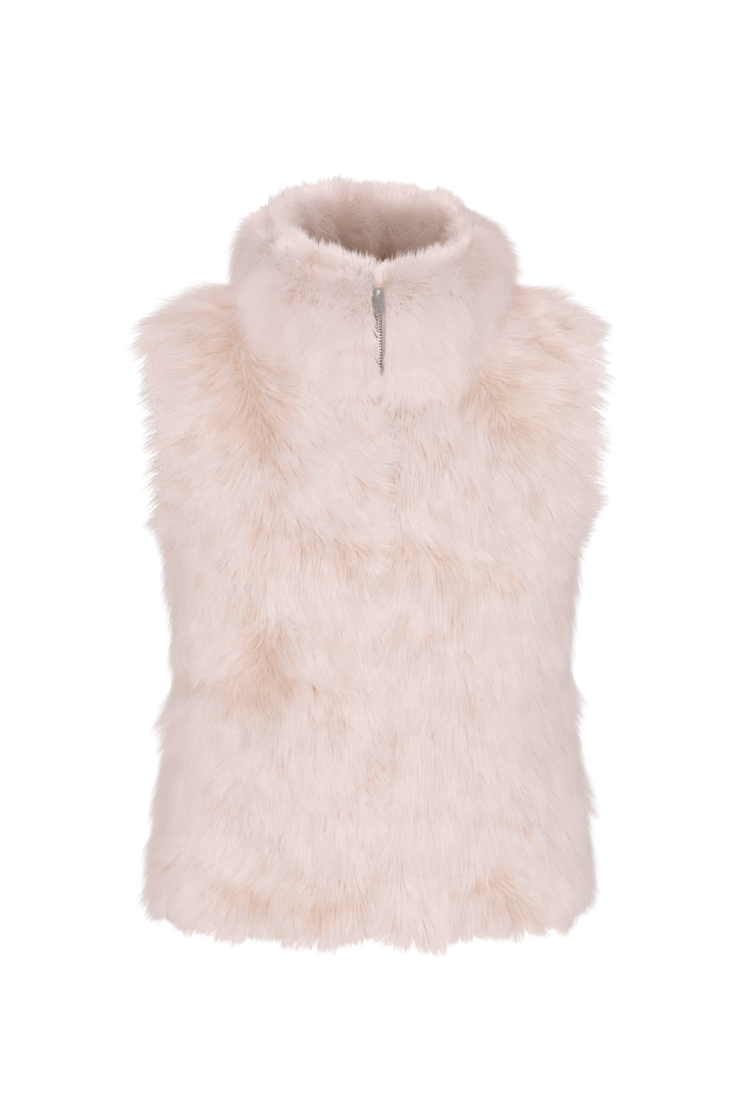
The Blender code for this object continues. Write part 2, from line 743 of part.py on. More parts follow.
def pull_outline():
    """Corners of the pull tab as (across, up) from the hinge, rounded at the foot."""
    top, low = PULL_BAR / 2, PULL_BAR / 2 - PULL_LENGTH
    outline = [(PULL_TOP_HALF_WIDTH, top), (-PULL_TOP_HALF_WIDTH, top)]
    outline += [(-PULL_HALF_WIDTH, top - PULL_WINDOW_LENGTH)]
    for x, turns in ((-1, (180, 225, 270)), (1, (270, 315, 360))):
        for turn in turns:
            turn = math.radians(turn)
            outline.append((
                x * (PULL_HALF_WIDTH - PULL_CORNER) + PULL_CORNER * math.cos(turn),
                low + PULL_CORNER + PULL_CORNER * math.sin(turn),
            ))
    return outline + [(PULL_HALF_WIDTH, top - PULL_WINDOW_LENGTH)]


def build_pull(hinge, up, out):
    """The tab, with its origin on the hinge axis and a window for the slider's arch."""
    turn = Matrix((Vector((1, 0, 0)), Vector(-out), Vector(up))).transposed().to_4x4()
    place = Matrix.Translation(Vector(hinge)) @ turn
    half = PULL_THICK / 2
    rings = [[(x, y, u) for x, u in pull_outline()] for y in (half, -half)]
    tab = tube_of_corners("zip_pull", rings, METAL)
    window_top = -PULL_BAR / 2
    cutter = bpy.data.meshes.new("pull_window")
    shape = bmesh.new()
    bmesh.ops.create_cube(shape, size=1.0)
    size = (2 * PULL_WINDOW_HALF_WIDTH, 4 * PULL_THICK, PULL_WINDOW_LENGTH)
    bmesh.ops.scale(shape, vec=size, verts=shape.verts)
    bmesh.ops.translate(shape, vec=(0, 0, window_top - PULL_WINDOW_LENGTH / 2), verts=shape.verts)
    shape.to_mesh(cutter)
    shape.free()
    window = bpy.data.objects.new("pull_window", cutter)
    bpy.context.scene.collection.objects.link(window)
    window.hide_render = True
    window.display_type = "WIRE"
    cut = tab.modifiers.new("window", "BOOLEAN")
    cut.operation = "DIFFERENCE"
    cut.object = window
    for item in (tab, window):
        item.matrix_world = place


def build_zip(front):
    rows = zip_line(front)
    outward = outward_of(rows)
    build_tapes(rows, outward)
    centre, up, out = zip_place(HINGE_SHARE)
    _, chain_front, _ = slider_levels()
    hinge = centre + out * (CHAIN_FRONT - chain_front)
    post_foot = SLIDER_LENGTH - SLIDER_BELOW_HINGE - POST_INSET - POST_LENGTH
    chain_top = centre + up * (post_foot - SEAM_GAP)
    build_chain(rows, outward, (chain_top, up, out))
    build_slider(hinge, up, out)
    build_pull(hinge, up, out)


def main():
    clear_scene()
    shell = Shell()
    front = build_body(shell)
    neck = build_collar(shell)
    body = ["front_left", "front_right", "back"]
    shell.soften_crease(neck, body, ["collar"])
    shell.build({piece: FUR for piece in (*body, "collar")})
    facing = Shell()
    build_facing(facing)
    facing.build({"collar_facing": FUR})
    build_zip(front)
    bpy.context.view_layer.update()


main()
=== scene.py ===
"""The looks of a long-pile fur gilet: its backing cloth, its fur, its zip, and the stage it is shown on.

Metres, +Z up. The front faces -Y and the wearer's left is +X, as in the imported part.
"""

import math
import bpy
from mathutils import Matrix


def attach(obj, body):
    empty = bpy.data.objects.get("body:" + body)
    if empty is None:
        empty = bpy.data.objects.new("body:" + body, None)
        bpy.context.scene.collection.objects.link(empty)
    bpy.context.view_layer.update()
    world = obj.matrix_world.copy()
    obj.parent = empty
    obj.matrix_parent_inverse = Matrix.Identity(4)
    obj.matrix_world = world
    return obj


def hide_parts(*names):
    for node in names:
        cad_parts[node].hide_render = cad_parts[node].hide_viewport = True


bl_info = {
    "name": "Fur gilet",
    "version": (1, 0, 0),
    "blender": (4, 5, 0),
    "location": "View3D > Sidebar > Gilet",
    "description": "Dresses the packed gilet in cloth, fur and a zip, and sets its stage",
    "category": "Object",
}

from collections import namedtuple

import bmesh
import bpy
import numpy as np
from mathutils import Matrix, Vector

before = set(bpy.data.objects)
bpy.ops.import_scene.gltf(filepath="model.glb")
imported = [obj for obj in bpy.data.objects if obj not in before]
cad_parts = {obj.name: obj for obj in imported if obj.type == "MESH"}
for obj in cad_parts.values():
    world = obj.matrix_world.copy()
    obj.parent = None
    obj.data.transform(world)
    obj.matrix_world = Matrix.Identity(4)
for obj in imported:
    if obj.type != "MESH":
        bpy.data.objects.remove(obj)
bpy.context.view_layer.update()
BODY = "gilet"

# Cut of the cloth, as in the part
HEM_Z = -0.594
UNDERARM_Z = -0.226
NECK_HALF_WIDTH = 0.090
NECK_FRONT = 0.097
NECK_BACK = 0.062
NECK_SIDE_Z = -0.005
NECK_FRONT_DROP = 0.084
NECK_DROP_POWER = 1.2
NECK_BACK_RISE = 0.004
COLLAR_TOP_HALF_WIDTH = 0.095
COLLAR_TOP_FRONT = 0.084
COLLAR_TOP_BACK = 0.068
COLLAR_TOP_SIDE_Z = 0.050
COLLAR_TOP_TILT = 0.038
COLLAR_TOP_SAG = 0.010
COLLAR_BOW = 0.008
ZIP_EDGE = 0.0055
TAPE_OUTER = 0.0175
PART_NECK_STEPS = 8
FRONT_NECK_SHARE = 0.45
BACK_NECK_SHARE = 0.68

# Grid of the cloth, finer than the part's
LOWER_ROWS = 34
CHEST_ROWS = 14
BACK_CHEST_ROWS = 20
NECK_STEPS = 16
PANEL_COLUMNS = 24
COLLAR_ROWS = 12

# Zip: the box at its foot and the teeth from there to the slider
BOX_LENGTH = 0.014
ZIP_TOP_SHARE = 0.86
TOOTH_PITCH = 0.0026
TOOTH_LENGTH = 0.0036
TOOTH_OVERLAP = 0.0008
TOOTH_HEIGHT = 0.0011
TOOTH_DEPTH = 0.0028
TOOTH_SINK = 0.0005
TOOTH_ROUND = 0.00025
BODY_ZIP_STEPS = 80
COLLAR_ZIP_STEPS = 30

# Rounding of the metal: points closer than the gap are one, and edges bent less than an angle stay
MERGE_GAP = 1e-6
FLAT_ANGLE = 2
EDGE_ANGLE = 40
EDGE_SEGMENTS = 2

# Distance at which two halves of a panel are sewn into one
SEAM_GAP = 1e-5

# How far out the cloth is at each height, at the side seam and at the centre
Section = namedtuple("Section", "z out")
SIDE_SECTIONS = [Section(*row) for row in (
    (HEM_Z, 0.196),
    (-0.500, 0.188),
    (-0.420, 0.178),
    (-0.348, 0.170),
    (-0.280, 0.176),
    (UNDERARM_Z, 0.184),
)]
CENTRE_FRONT = [Section(*row) for row in (
    (HEM_Z, 0.117),
    (-0.500, 0.115),
    (-0.420, 0.110),
    (-0.348, 0.106),
    (-0.280, 0.112),
    (UNDERARM_Z, 0.119),
    (-0.180, 0.119),
    (-0.130, 0.110),
    (-0.089, 0.097),
)]
CENTRE_BACK = [Section(*row) for row in (
    (HEM_Z, 0.112),
    (-0.500, 0.108),
    (-0.420, 0.102),
    (-0.348, 0.096),
    (-0.280, 0.102),
    (UNDERARM_Z, 0.109),
    (-0.150, 0.113),
    (-0.080, 0.105),
    (-0.035, 0.085),
    (0.000, 0.062),
)]

# Armhole edge from underarm to shoulder point; turn is how far the section there swings round the body
ArmholePoint = namedtuple("ArmholePoint", "x y z turn")
UNDERARM = ArmholePoint(0.184, 0.000, UNDERARM_Z, 90)
SHOULDER = ArmholePoint(0.196, 0.000, -0.036, 15)
ARMHOLE_FRONT = [ArmholePoint(*row) for row in (
    UNDERARM,
    (0.182, -0.034, -0.217, 74),
    (0.178, -0.059, -0.185, 60),
    (0.177, -0.064, -0.140, 51),
    (0.181, -0.055, -0.094, 44),
    (0.190, -0.031, -0.055, 34),
    SHOULDER,
)]
ARMHOLE_BACK = [ArmholePoint(*row) for row in (
    UNDERARM,
    (0.183, 0.032, -0.217, 74),
    (0.180, 0.055, -0.185, 60),
    (0.179, 0.061, -0.140, 51),
    (0.183, 0.053, -0.094, 44),
    (0.191, 0.031, -0.055, 34),
    SHOULDER,
)]

# How the fur is combed, seen from the front or the back: a stroke pulls the fur its way within its radius
Stroke = namedtuple("Stroke", "x z right up radius")
FRONT_STROKES = [Stroke(*row) for row in (
    # right shoulder and chest, at the viewer's left
    (-0.200, -0.045, -0.90, -0.40, 0.050),
    (-0.150, -0.030, -0.75, -0.50, 0.040),
    (-0.190, -0.120, -0.55, -0.85, 0.050),
    (-0.145, -0.090, -0.35, -0.95, 0.040),
    (-0.080, -0.100, 0.55, -0.85, 0.040),
    (-0.040, -0.130, 0.85, -0.55, 0.040),
    (-0.060, -0.165, 0.75, -0.65, 0.040),
    (-0.130, -0.150, -0.60, -0.80, 0.035),
    (-0.030, -0.190, 0.80, -0.60, 0.035),
    (-0.120, -0.200, -0.30, -0.95, 0.040),
    # left shoulder and chest, at the viewer's right
    (0.195, -0.050, 0.95, -0.10, 0.050),
    (0.140, -0.055, 0.90, 0.10, 0.040),
    (0.190, -0.130, 0.50, -0.85, 0.050),
    (0.100, -0.070, 0.40, -0.90, 0.035),
    (0.120, -0.150, 0.85, -0.45, 0.045),
    (0.160, -0.190, 0.75, -0.65, 0.045),
    (0.040, -0.130, 0.10, -1.00, 0.040),
    (0.075, -0.180, 0.20, -0.98, 0.040),
    # waist and skirt
    (-0.140, -0.270, -0.40, -0.90, 0.050),
    (-0.060, -0.270, 0.35, -0.94, 0.050),
    (0.060, -0.280, 0.25, -0.97, 0.060),
    (0.150, -0.290, 0.45, -0.90, 0.060),
    (-0.130, -0.400, -0.25, -0.97, 0.060),
    (-0.050, -0.400, 0.30, -0.95, 0.060),
    (0.070, -0.400, -0.15, -0.98, 0.060),
    (0.150, -0.430, 0.25, -0.97, 0.060),
    (-0.160, -0.540, -0.40, -0.92, 0.060),
    (-0.060, -0.520, -0.15, -0.98, 0.050),
    (0.060, -0.520, 0.20, -0.98, 0.060),
    (0.165, -0.540, 0.40, -0.92, 0.060),
)]
BACK_STROKES = [Stroke(*row) for row in (
    (-0.150, -0.050, -0.70, -0.70, 0.050),
    (0.150, -0.050, 0.70, -0.70, 0.050),
    (-0.060, -0.160, -0.30, -0.95, 0.060),
    (0.070, -0.150, 0.35, -0.94, 0.060),
    (-0.090, -0.330, 0.25, -0.97, 0.070),
    (0.060, -0.330, -0.25, -0.97, 0.070),
    (0.000, -0.480, 0.20, -0.98, 0.060),
)]
STROKES = {"front": FRONT_STROKES, "back": BACK_STROKES}
DOWNWARD_PULL = 0.25

# How the fur turns over the free edges: the width of cloth whose fur leans, and how far it leans at the edge
ARMHOLE_LEAN = 0.040
HEM_LEAN = 0.035
EDGE_LEAN = 1.2
ARMHOLE_FALL = 0.7
ARMHOLE_FALL_Z = -0.120
ARMHOLE_FALL_RISE = 0.070
EDGE_COMB = 0.9
PARTING_DEPTH = 0.30

# Where the fur lies shorter or runs less far: beside the neck, the zip, the armholes and the hem
NECK_POINTS = 180
NECK_COMB_WIDTH = 0.045
NECK_SHORT_WIDTH = 0.030
NECK_SHORT = 0.45
ZIP_SIDE = 0.014
ZIP_COMB = 0.9
ZIP_HEM_COMB = 0.6
ZIP_SHORT = 0.15
RUN_KEPT = 0.4
ARM_RUN_LOSS = 0.10
ARM_TOP_RUN_LOSS = 0.35
HEM_RUN_LOSS = 0.80
HEM_SHORT = 0.32
HEM_SIDE_SHORT = 0.22
HEM_SIDE_POWER = 6

# The collar's fur and its facing's fan over the top edge as one roll, higher in front and on the right
COLLAR_ROLL = 0.45
COLLAR_LIP = 0.16
CREST_HEIGHT = 0.021
CREST_FRONT_RISE = 0.004
CREST_RIGHT_RISE = 0.004
CREST_RUN = 0.40
CREST_CROSS = 1.4
CREST_CALM = 0.65
CREST_POWER = 1.5
CREST_SWEEP = 0.4
CREST_OUT = 0.3
COLLAR_TURN_POWER = 2

# How the collar's fur closes over the zip, and how short it is there and at the foot of the facing
FACING_ZIP_LEAN = 1.6
COLLAR_ZIP_LEAN = 0.25
COLLAR_ZIP_SHORT = 0.45
COLLAR_ZIP_CALM = 0.75
ZIP_CLOSING = 0.42
ZIP_CLOSING_ROLL = 0.5
ZIP_FOOT_CLOSING = 0.8
ZIP_FOOT = 0.50
FACING_SHORT = 0.45
FACING_SHORT_HEIGHT = 0.5
FACING_INSET = 0.002

# Waves of the fur's lie round the collar: their size, how many go round, and where they start
FanWave = namedtuple("FanWave", "size count start")
FAN_WAVES = [FanWave(0.30, 3, 0.6), FanWave(0.18, 7, 0.0)]

# Share of a strand that carries the painted shade of the deep pile, and how much more of it does where the
# fur parts
ROOT_SHADE_REACH = 0.52
PARTING_SHADE_REACH = 0.75
COLLAR_SHADE_REACH = 0.22
MOTTLE_REACH = 0.60

# Tones: how far locks differ, where patches and the painted shade deep in the collar set in, and the dark
# shades of the rest
TONE_SPREAD = 0.30
MOTTLE_RANGE = (0.48, 0.72)
COLLAR_SHADE_RANGE = (0.08, 0.62)
WARM_LOCK = (0.955, 0.935, 0.92)
PALE_LOCK = (1.02, 1.02, 1.02)
LOCK_TONE = 0.6
CLOTH_DARK = 0.8
METAL_DARK = 0.72
METAL_SHINE = 0.18
METAL_WEAR = 0.22
TAPE_DARK = 0.78

# Lines that the fur falls away from, and how wide its pull and its painted shade are beside the line
Parting = namedtuple("Parting", "x0 z0 x1 z1 half_width pull")
FRONT_PARTINGS = [Parting(*row) for row in (
    (0.020, -0.232, 0.085, -0.258, 0.018, 0.6),
    (-0.125, -0.236, -0.010, -0.228, 0.014, 0.5),
    (-0.128, -0.050, -0.106, -0.130, 0.022, 0.8),
    (0.092, -0.090, 0.120, -0.126, 0.026, 0.9),
    (0.122, -0.030, 0.140, -0.060, 0.016, 0.6),
    (-0.098, -0.300, -0.108, -0.380, 0.016, 0.7),
    (-0.180, -0.352, -0.040, -0.358, 0.018, 0.6),
    (-0.125, -0.548, -0.030, -0.552, 0.018, 0.8),
    (0.095, -0.545, 0.125, -0.575, 0.016, 0.7),
)]
BACK_PARTINGS = [Parting(*row) for row in (
    (-0.120, -0.215, 0.120, -0.225, 0.018, 0.8),
    (0.030, -0.370, 0.110, -0.385, 0.020, 0.7),
    (-0.110, -0.505, -0.020, -0.515, 0.020, 0.8),
)]
PARTINGS = {"front": FRONT_PARTINGS, "back": BACK_PARTINGS}
PARTING_PULL_WIDTH = 2.0
PARTING_SHADE_WIDTH = 1.15

# Each piece's strands, how high and how far they reach, and the width, length and area of its cut laid flat
Piece = namedtuple("Piece", "strands pile run width length area")
PIECES = {
    "front_left": Piece(64000, 0.021, 0.028, 0.260, 0.610, 0.125),
    "front_right": Piece(64000, 0.021, 0.028, 0.260, 0.610, 0.125),
    "back": Piece(64000, 0.021, 0.030, 0.500, 0.620, 0.267),
    "collar": Piece(64000, 0.035, 0.022, 0.520, 0.110, 0.044),
    "collar_facing": Piece(50000, 0.042, 0.012, 0.508, 0.110, 0.042),
}

# What the cloth carries of its fur at each point
GROWTH = ("rise", "comb", "across", "pile", "run", "reach", "loose", "deep")

# A strand: its levels below the tip, how its length varies, how it bends, strays and tapers, and its chance
STRAND_LEVELS = (0.0, 0.5)
STRAND_SIZE = 0.01
STRAND_SHARE = 0.1
LENGTH_LEAST = 0.80
LENGTH_BY_STRAND = 0.30
LENGTH_BY_LOCK = 0.12
RUN_POWER = 1.2
GATHER_POWER = 1.3
WAVE_GAIN = 3.0
SCATTER_SHARE = 0.18
TWIST = 0.4
TAPER = 0.55
STRAND_NOISE = 731.0
SCATTER_NOISE = 917.0
LOCK_NOISE = 631.0
SEED_STEP = 10

# Studio light: lamps with their place, width and power in watts, and the light from all round
Lamp = namedtuple("Lamp", "name place size power")
LAMPS = [
    Lamp("key", (-0.7, -3.0, 0.1), 1.8, 33),
    Lamp("fill", (2.2, -2.4, 0.4), 2.2, 10),
    Lamp("top", (0.0, 0.2, 2.4), 2.0, 9),
]
WORLD_LIGHT = 0.35
WHITE = (1.0, 1.0, 1.0, 1.0)


def size_setting(name, description, default):
    return bpy.props.FloatProperty(name=name, description=description, default=default, unit="LENGTH")


def share_setting(name, description, default):
    return bpy.props.FloatProperty(name=name, description=description, default=default, subtype="FACTOR")


def angle_setting(name, description, degrees):
    default = math.radians(degrees)
    return bpy.props.FloatProperty(name=name, description=description, default=default, subtype="ANGLE")


def vector_setting(name, description, default, subtype="COLOR"):
    values = {"name": name, "description": description, "default": default}
    return bpy.props.FloatVectorProperty(**values, size=3, subtype=subtype)


class FurSettings(bpy.types.PropertyGroup):
    """Sizes and colours of the fur and the cloth behind it."""

    strand_width: size_setting("Strand width", "Width of a strand at its root", 0.0011)
    lock_spacing: size_setting("Lock spacing", "Distance between the locks that strands gather into", 0.010)
    lock_pull: share_setting("Lock pull", "How far the tips of a lock gather", 0.22)
    wave: size_setting("Wave", "How far the tips wander sideways", 0.013)
    # Painted glow: strands and backing give off their own colour as light, a painted light in place of light
    # passed between strands
    painted_glow: share_setting("Glow", "Light that strands pass on to each other", 0.17)
    translucency: share_setting("Translucency", "Share of the light that passes through a strand", 0.14)
    cloth_thickness: size_setting("Cloth thickness", "Thickness of the knitted backing", 0.0016)
    tip_colour: vector_setting("Tip colour", "Fur at its tips", (0.910, 0.845, 0.840))
    # Painted shade of the deep pile: the colour that strands darken to towards their roots
    painted_root_shade: vector_setting("Root colour", "Fur at its roots", (0.84, 0.685, 0.590))
    # Painted shade deep inside the collar, where its recess lies in shade
    painted_collar_shade: vector_setting("Facing colour", "Fur deep inside the collar", (0.50, 0.33, 0.25))
    cloth_colour: vector_setting("Cloth colour", "Knitted backing", (0.84, 0.73, 0.68))


class ZipSettings(bpy.types.PropertyGroup):
    """Sizes and colours of the zip."""

    edge_round: size_setting("Edge rounding", "Radius on the slider's and pull's edges", 0.0002)
    metal_colour: vector_setting("Metal colour", "Teeth, slider and pull", (0.90, 0.885, 0.86))
    tape_colour: vector_setting("Tape colour", "Woven tape", (0.90, 0.81, 0.77))


class StageSettings(bpy.types.PropertyGroup):
    """The camera and the light."""

    distance: size_setting("Distance", "Camera to the gilet", 3.2)
    height: size_setting("Framed height", "Height that the picture takes in at the gilet", 1.062)
    azimuth: angle_setting("Azimuth", "Camera's turn round the gilet", -4)
    elevation: angle_setting("Elevation", "Camera's angle above the gilet", 5)
    target: vector_setting("Target", "Point in the middle of the picture", (0.0, 0.0, -0.262), "XYZ")
    floor_z: size_setting("Floor", "Height of the floor", -1.05)
    floor_light: share_setting("Floor light", "Light that the floor and backdrop give", 0.60)
    floor_colour: vector_setting("Floor colour", "Floor and backdrop", (0.95, 0.95, 0.95))


class Wire:
    """A node's output that takes part in Python expressions."""

    def __init__(self, maker, socket):
        self.maker = maker
        self.socket = socket

    @property
    def is_vector(self):
        return self.socket.type in {"VECTOR", "RGBA"}

    def joined(self, operation, first, second):
        wires = [w for w in (first, second) if isinstance(w, Wire)]
        vectors = [w.is_vector for w in wires]
        if not any(vectors):
            return self.maker.add("ShaderNodeMath", {"operation": operation}, {0: first, 1: second})
        if operation == "MULTIPLY" and not (len(wires) == 2 and all(vectors)):
            vector_first = isinstance(first, Wire) and first.is_vector
            vector, scale = (first, second) if vector_first else (second, first)
            return self.maker.add("ShaderNodeVectorMath", {"operation": "SCALE"}, {0: vector, "Scale": scale})
        return self.maker.add("ShaderNodeVectorMath", {"operation": operation}, {0: first, 1: second})

    def __add__(self, other):
        return self.joined("ADD", self, other)

    __radd__ = __add__

    def __sub__(self, other):
        return self.joined("SUBTRACT", self, other)

    def __rsub__(self, other):
        return self.joined("SUBTRACT", other, self)

    def __mul__(self, other):
        return self.joined("MULTIPLY", self, other)

    __rmul__ = __mul__

    def __pow__(self, other):
        return self.joined("POWER", self, other)


class NodeMaker:
    """Adds nodes to one tree."""

    def __init__(self, tree):
        self.tree = tree

    def add(self, kind, settings=None, inputs=None, output=0):
        """Adds a node, sets its settings and then its sockets, and gives one of its outputs."""
        node = self.tree.nodes.new(kind)
        for name, value in (settings or {}).items():
            setattr(node, name, value)
        for name, value in (inputs or {}).items():
            socket = self.named(node.inputs, name)
            if isinstance(value, Wire):
                self.tree.links.new(value.socket, socket)
            elif socket.type == "RGBA" and len(value) == 3:
                socket.default_value = (*value, 1.0)
            else:
                socket.default_value = value
        return Wire(self, self.named(node.outputs, output))

    @staticmethod
    def named(sockets, name):
        """A socket by its number or by its name."""
        if isinstance(name, int):
            return sockets[name]
        return next(s for s in sockets if s.name == name and s.enabled)

    def mix(self, factor, first, second):
        """A colour between two others. A mix node takes its colours in sockets 6 and 7 and gives one in 2."""
        settings = {"data_type": "RGBA", "blend_type": "MIX"}
        return self.add("ShaderNodeMix", settings, {0: factor, 6: first, 7: second}, 2)

    def attribute(self, name, output="Fac"):
        """What a mesh carries under a name, in a shader."""
        return self.add("ShaderNodeAttribute", {"attribute_name": name}, output=output)

    def noise(self, place, scale, detail, output=0):
        inputs = {"Vector": place, "Scale": scale, "Detail": detail}
        return self.add("ShaderNodeTexNoise", {}, inputs, output)

    def bands(self, place, way, scale, distortion):
        inputs = {"Vector": place, "Scale": scale, "Distortion": distortion}
        return self.add("ShaderNodeTexWave", {"bands_direction": way}, inputs)

    def ramp(self, value, start, end):
        """A smooth step from 0 at the start to 1 at the end."""
        settings = {"interpolation_type": "SMOOTHSTEP"}
        return self.add("ShaderNodeMapRange", settings, {"Value": value, "From Min": start, "From Max": end})

    def feed(self, wire, shader, *sockets):
        """Leads a wire into sockets of a shader."""
        for socket in sockets:
            self.tree.links.new(wire.socket, shader.inputs[socket])


def new_material(name, roughness, metallic=0.0, specular=0.5, sheen=0.0):
    """A material, its node maker and its shader, on which the values that are the same all over are set."""
    made = bpy.data.materials.new(name)
    made.use_nodes = True
    shader = made.node_tree.nodes["Principled BSDF"]
    for socket, value in (
        ("Roughness", roughness), ("Metallic", metallic),
        ("Specular IOR Level", specular), ("Sheen Weight", sheen),
    ):
        shader.inputs[socket].default_value = value
    return made, NodeMaker(made.node_tree), shader


def darker(colour, share):
    return [channel * share for channel in colour]


def fur_material(settings):
    """Fur in locks of slightly different tone, with painted shade that fades from root to tip and deepens
    inside the collar, and a painted glow.
    """
    made, maker, shader = new_material("fur", roughness=0.62, specular=0.2, sheen=0.15)
    along, tone, deep, reach = (maker.attribute(name) for name in ("along", "tone", "deep", "reach"))
    root = maker.attribute("root", "Vector")
    patch = maker.noise(root, scale=42.0, detail=3.0)
    mottle = maker.ramp(patch, *MOTTLE_RANGE)
    # Painted shade of the deep pile from the roots up, reaching further at partings and in random patches
    shade = maker.ramp(along + (tone - 0.5) * TONE_SPREAD, 0.0, reach + mottle * MOTTLE_REACH)
    colour = maker.mix(shade, settings.painted_root_shade, settings.tip_colour)
    colour = colour * maker.mix(tone, WARM_LOCK, PALE_LOCK)
    # Painted shade, deeper inside the collar
    colour = maker.mix(maker.ramp(deep, *COLLAR_SHADE_RANGE), colour, settings.painted_collar_shade)
    # The fur's colour is also given off as a painted glow that lifts its shade
    maker.feed(colour, shader, "Base Color", "Emission Color")
    shader.inputs["Emission Strength"].default_value = settings.painted_glow
    through = maker.add("ShaderNodeBsdfTranslucent", {}, {"Color": settings.tip_colour})
    mixed = maker.add("ShaderNodeMixShader", {}, {0: settings.translucency, 2: through})
    maker.tree.links.new(shader.outputs[0], mixed.socket.node.inputs[1])
    maker.tree.links.new(mixed.socket, maker.tree.nodes["Material Output"].inputs["Surface"])
    return made


def cloth_material(settings):
    """Fine knit, with wales up the cloth and small stitches along them."""
    made, maker, shader = new_material("knitted_backing", roughness=0.9, specular=0.2, sheen=0.1)
    place = maker.add("ShaderNodeTexCoord", output="Object")
    grain = maker.noise(place, scale=900.0, detail=2.0)
    patch = maker.noise(place, scale=24.0, detail=2.0)
    colour = settings.cloth_colour
    colour = maker.mix(grain * 0.5 + patch * 0.5, darker(colour, CLOTH_DARK), colour)
    # The cloth's colour is also given off as a painted glow that lifts the shade seen between the strands
    maker.feed(colour, shader, "Base Color", "Emission Color")
    shader.inputs["Emission Strength"].default_value = settings.painted_glow
    wales = maker.bands(place, "X", scale=160.0, distortion=1.5)
    bump = maker.add("ShaderNodeBump", {}, {"Height": wales + grain, "Strength": 0.35, "Distance": 0.0006})
    maker.feed(bump, shader, "Normal")
    return made


def metal_material(settings):
    """Polished metal, duller in small worn spots."""
    made, maker, shader = new_material("zip_metal", roughness=0.28, metallic=1.0)
    place = maker.add("ShaderNodeTexCoord", output="Object")
    wear = maker.noise(place, scale=420.0, detail=3.0)
    colour = settings.metal_colour
    maker.feed(maker.mix(wear, darker(colour, METAL_DARK), colour), shader, "Base Color")
    maker.feed(METAL_SHINE + wear * METAL_WEAR, shader, "Roughness")
    return made


def tape_material(settings):
    """Woven tape with fine ribs across it."""
    made, maker, shader = new_material("zip_tape", roughness=0.85, specular=0.25, sheen=0.1)
    place = maker.add("ShaderNodeTexCoord", output="Object")
    rib = maker.bands(place, "Z", scale=420.0, distortion=0.4)
    colour = settings.tape_colour
    maker.feed(maker.mix(rib, darker(colour, TAPE_DARK), colour), shader, "Base Color")
    bump = maker.add("ShaderNodeBump", {}, {"Height": rib, "Strength": 0.5, "Distance": 0.0003})
    maker.feed(bump, shader, "Normal")
    return made


def smooth_step(value):
    value = np.clip(value, 0.0, 1.0)
    return value * value * (3 - 2 * value)


def spline(knots, values, at):
    """Smooth curve through the values at the knots, read at one place."""
    knots = np.asarray(knots, float)
    values = np.asarray(values, float)
    slopes = np.gradient(values, knots, axis=0)
    i = int(np.clip(np.searchsorted(knots, at) - 1, 0, len(knots) - 2))
    step = knots[i + 1] - knots[i]
    s = (at - knots[i]) / step
    start = (1 + 2 * s) * (1 - s) ** 2 * values[i] + s * (1 - s) ** 2 * step * slopes[i]
    end = s**2 * (3 - 2 * s) * values[i + 1] + s**2 * (s - 1) * step * slopes[i + 1]
    return start + end


def out_at(sections, z):
    """How far out the cloth is at a height."""
    return spline(*zip(*sections), z)


def armhole(table, share):
    """(point, turn) on an armhole edge, share 0 at the underarm and 1 at the shoulder."""
    across = np.array([1, -1, 1, 1])
    rows = np.array([table[1] * across, *table, table[-2] * across])
    steps = np.linalg.norm(np.diff(rows[:, :3], axis=0), axis=1)
    knots = (np.concatenate([[0.0], np.cumsum(steps)]) - steps[0]) / steps[1:-1].sum()
    found = spline(knots, rows, share)
    return found[:3], found[3]


def neckline(angle):
    """Point of the neckline, angle 0 at the centre front, 90 at the shoulder and 180 at the centre back."""
    across, ahead = math.sin(math.radians(angle)), math.cos(math.radians(angle))
    depth = NECK_FRONT if ahead > 0 else NECK_BACK
    rise = -NECK_FRONT_DROP * ahead**NECK_DROP_POWER if ahead > 0 else -NECK_BACK_RISE * ahead
    return np.array([NECK_HALF_WIDTH * across, -depth * ahead, NECK_SIDE_Z + rise])


def collar_top(angle):
    across, ahead = math.sin(math.radians(angle)), math.cos(math.radians(angle))
    depth = COLLAR_TOP_FRONT if ahead > 0 else COLLAR_TOP_BACK
    z = COLLAR_TOP_SIDE_Z - COLLAR_TOP_TILT * ahead - COLLAR_TOP_SAG * ahead**2
    return np.array([COLLAR_TOP_HALF_WIDTH * across, -depth * ahead, z])


def outward(angle):
    """Level direction away from the middle of the neck."""
    return np.array([math.sin(math.radians(angle)), -math.cos(math.radians(angle)), 0.0])


def collar_point(angle, height):
    """Point of the collar cloth, height 0 at the neckline and 1 at the top edge."""
    base = neckline(angle)
    point = base + (collar_top(angle) - base) * height
    return point + outward(angle) * COLLAR_BOW * 4 * height * (1 - height)


FIRST_ANGLE = math.degrees(math.asin(ZIP_EDGE / NECK_HALF_WIDTH))
TAPE_ANGLE = math.degrees(math.asin(TAPE_OUTER / NECK_HALF_WIDTH))
FRONT_ANGLES = list(np.interp(
    np.linspace(0, PART_NECK_STEPS, NECK_STEPS + 1),
    np.arange(PART_NECK_STEPS + 1),
    [FIRST_ANGLE, *np.linspace(TAPE_ANGLE, 90.0, PART_NECK_STEPS)],
))
BACK_ANGLES = list(np.linspace(180.0, 90.0, NECK_STEPS + 1))


def section_points(inner, outer, turn, shares):
    """Points of one section from its inner to its outer end, swinging round the body by the turn."""
    turn = math.radians(turn)
    points = []
    for share in shares:
        across = math.sin(turn * share) / math.sin(turn)
        bow = (math.cos(turn * share) - math.cos(turn)) / (1 - math.cos(turn))
        x = inner[0] + (outer[0] - inner[0]) * across
        y = outer[1] + (inner[1] - outer[1]) * bow
        z = inner[2] + (outer[2] - inner[2]) * across
        points.append(np.array([x, y, z]))
    return points


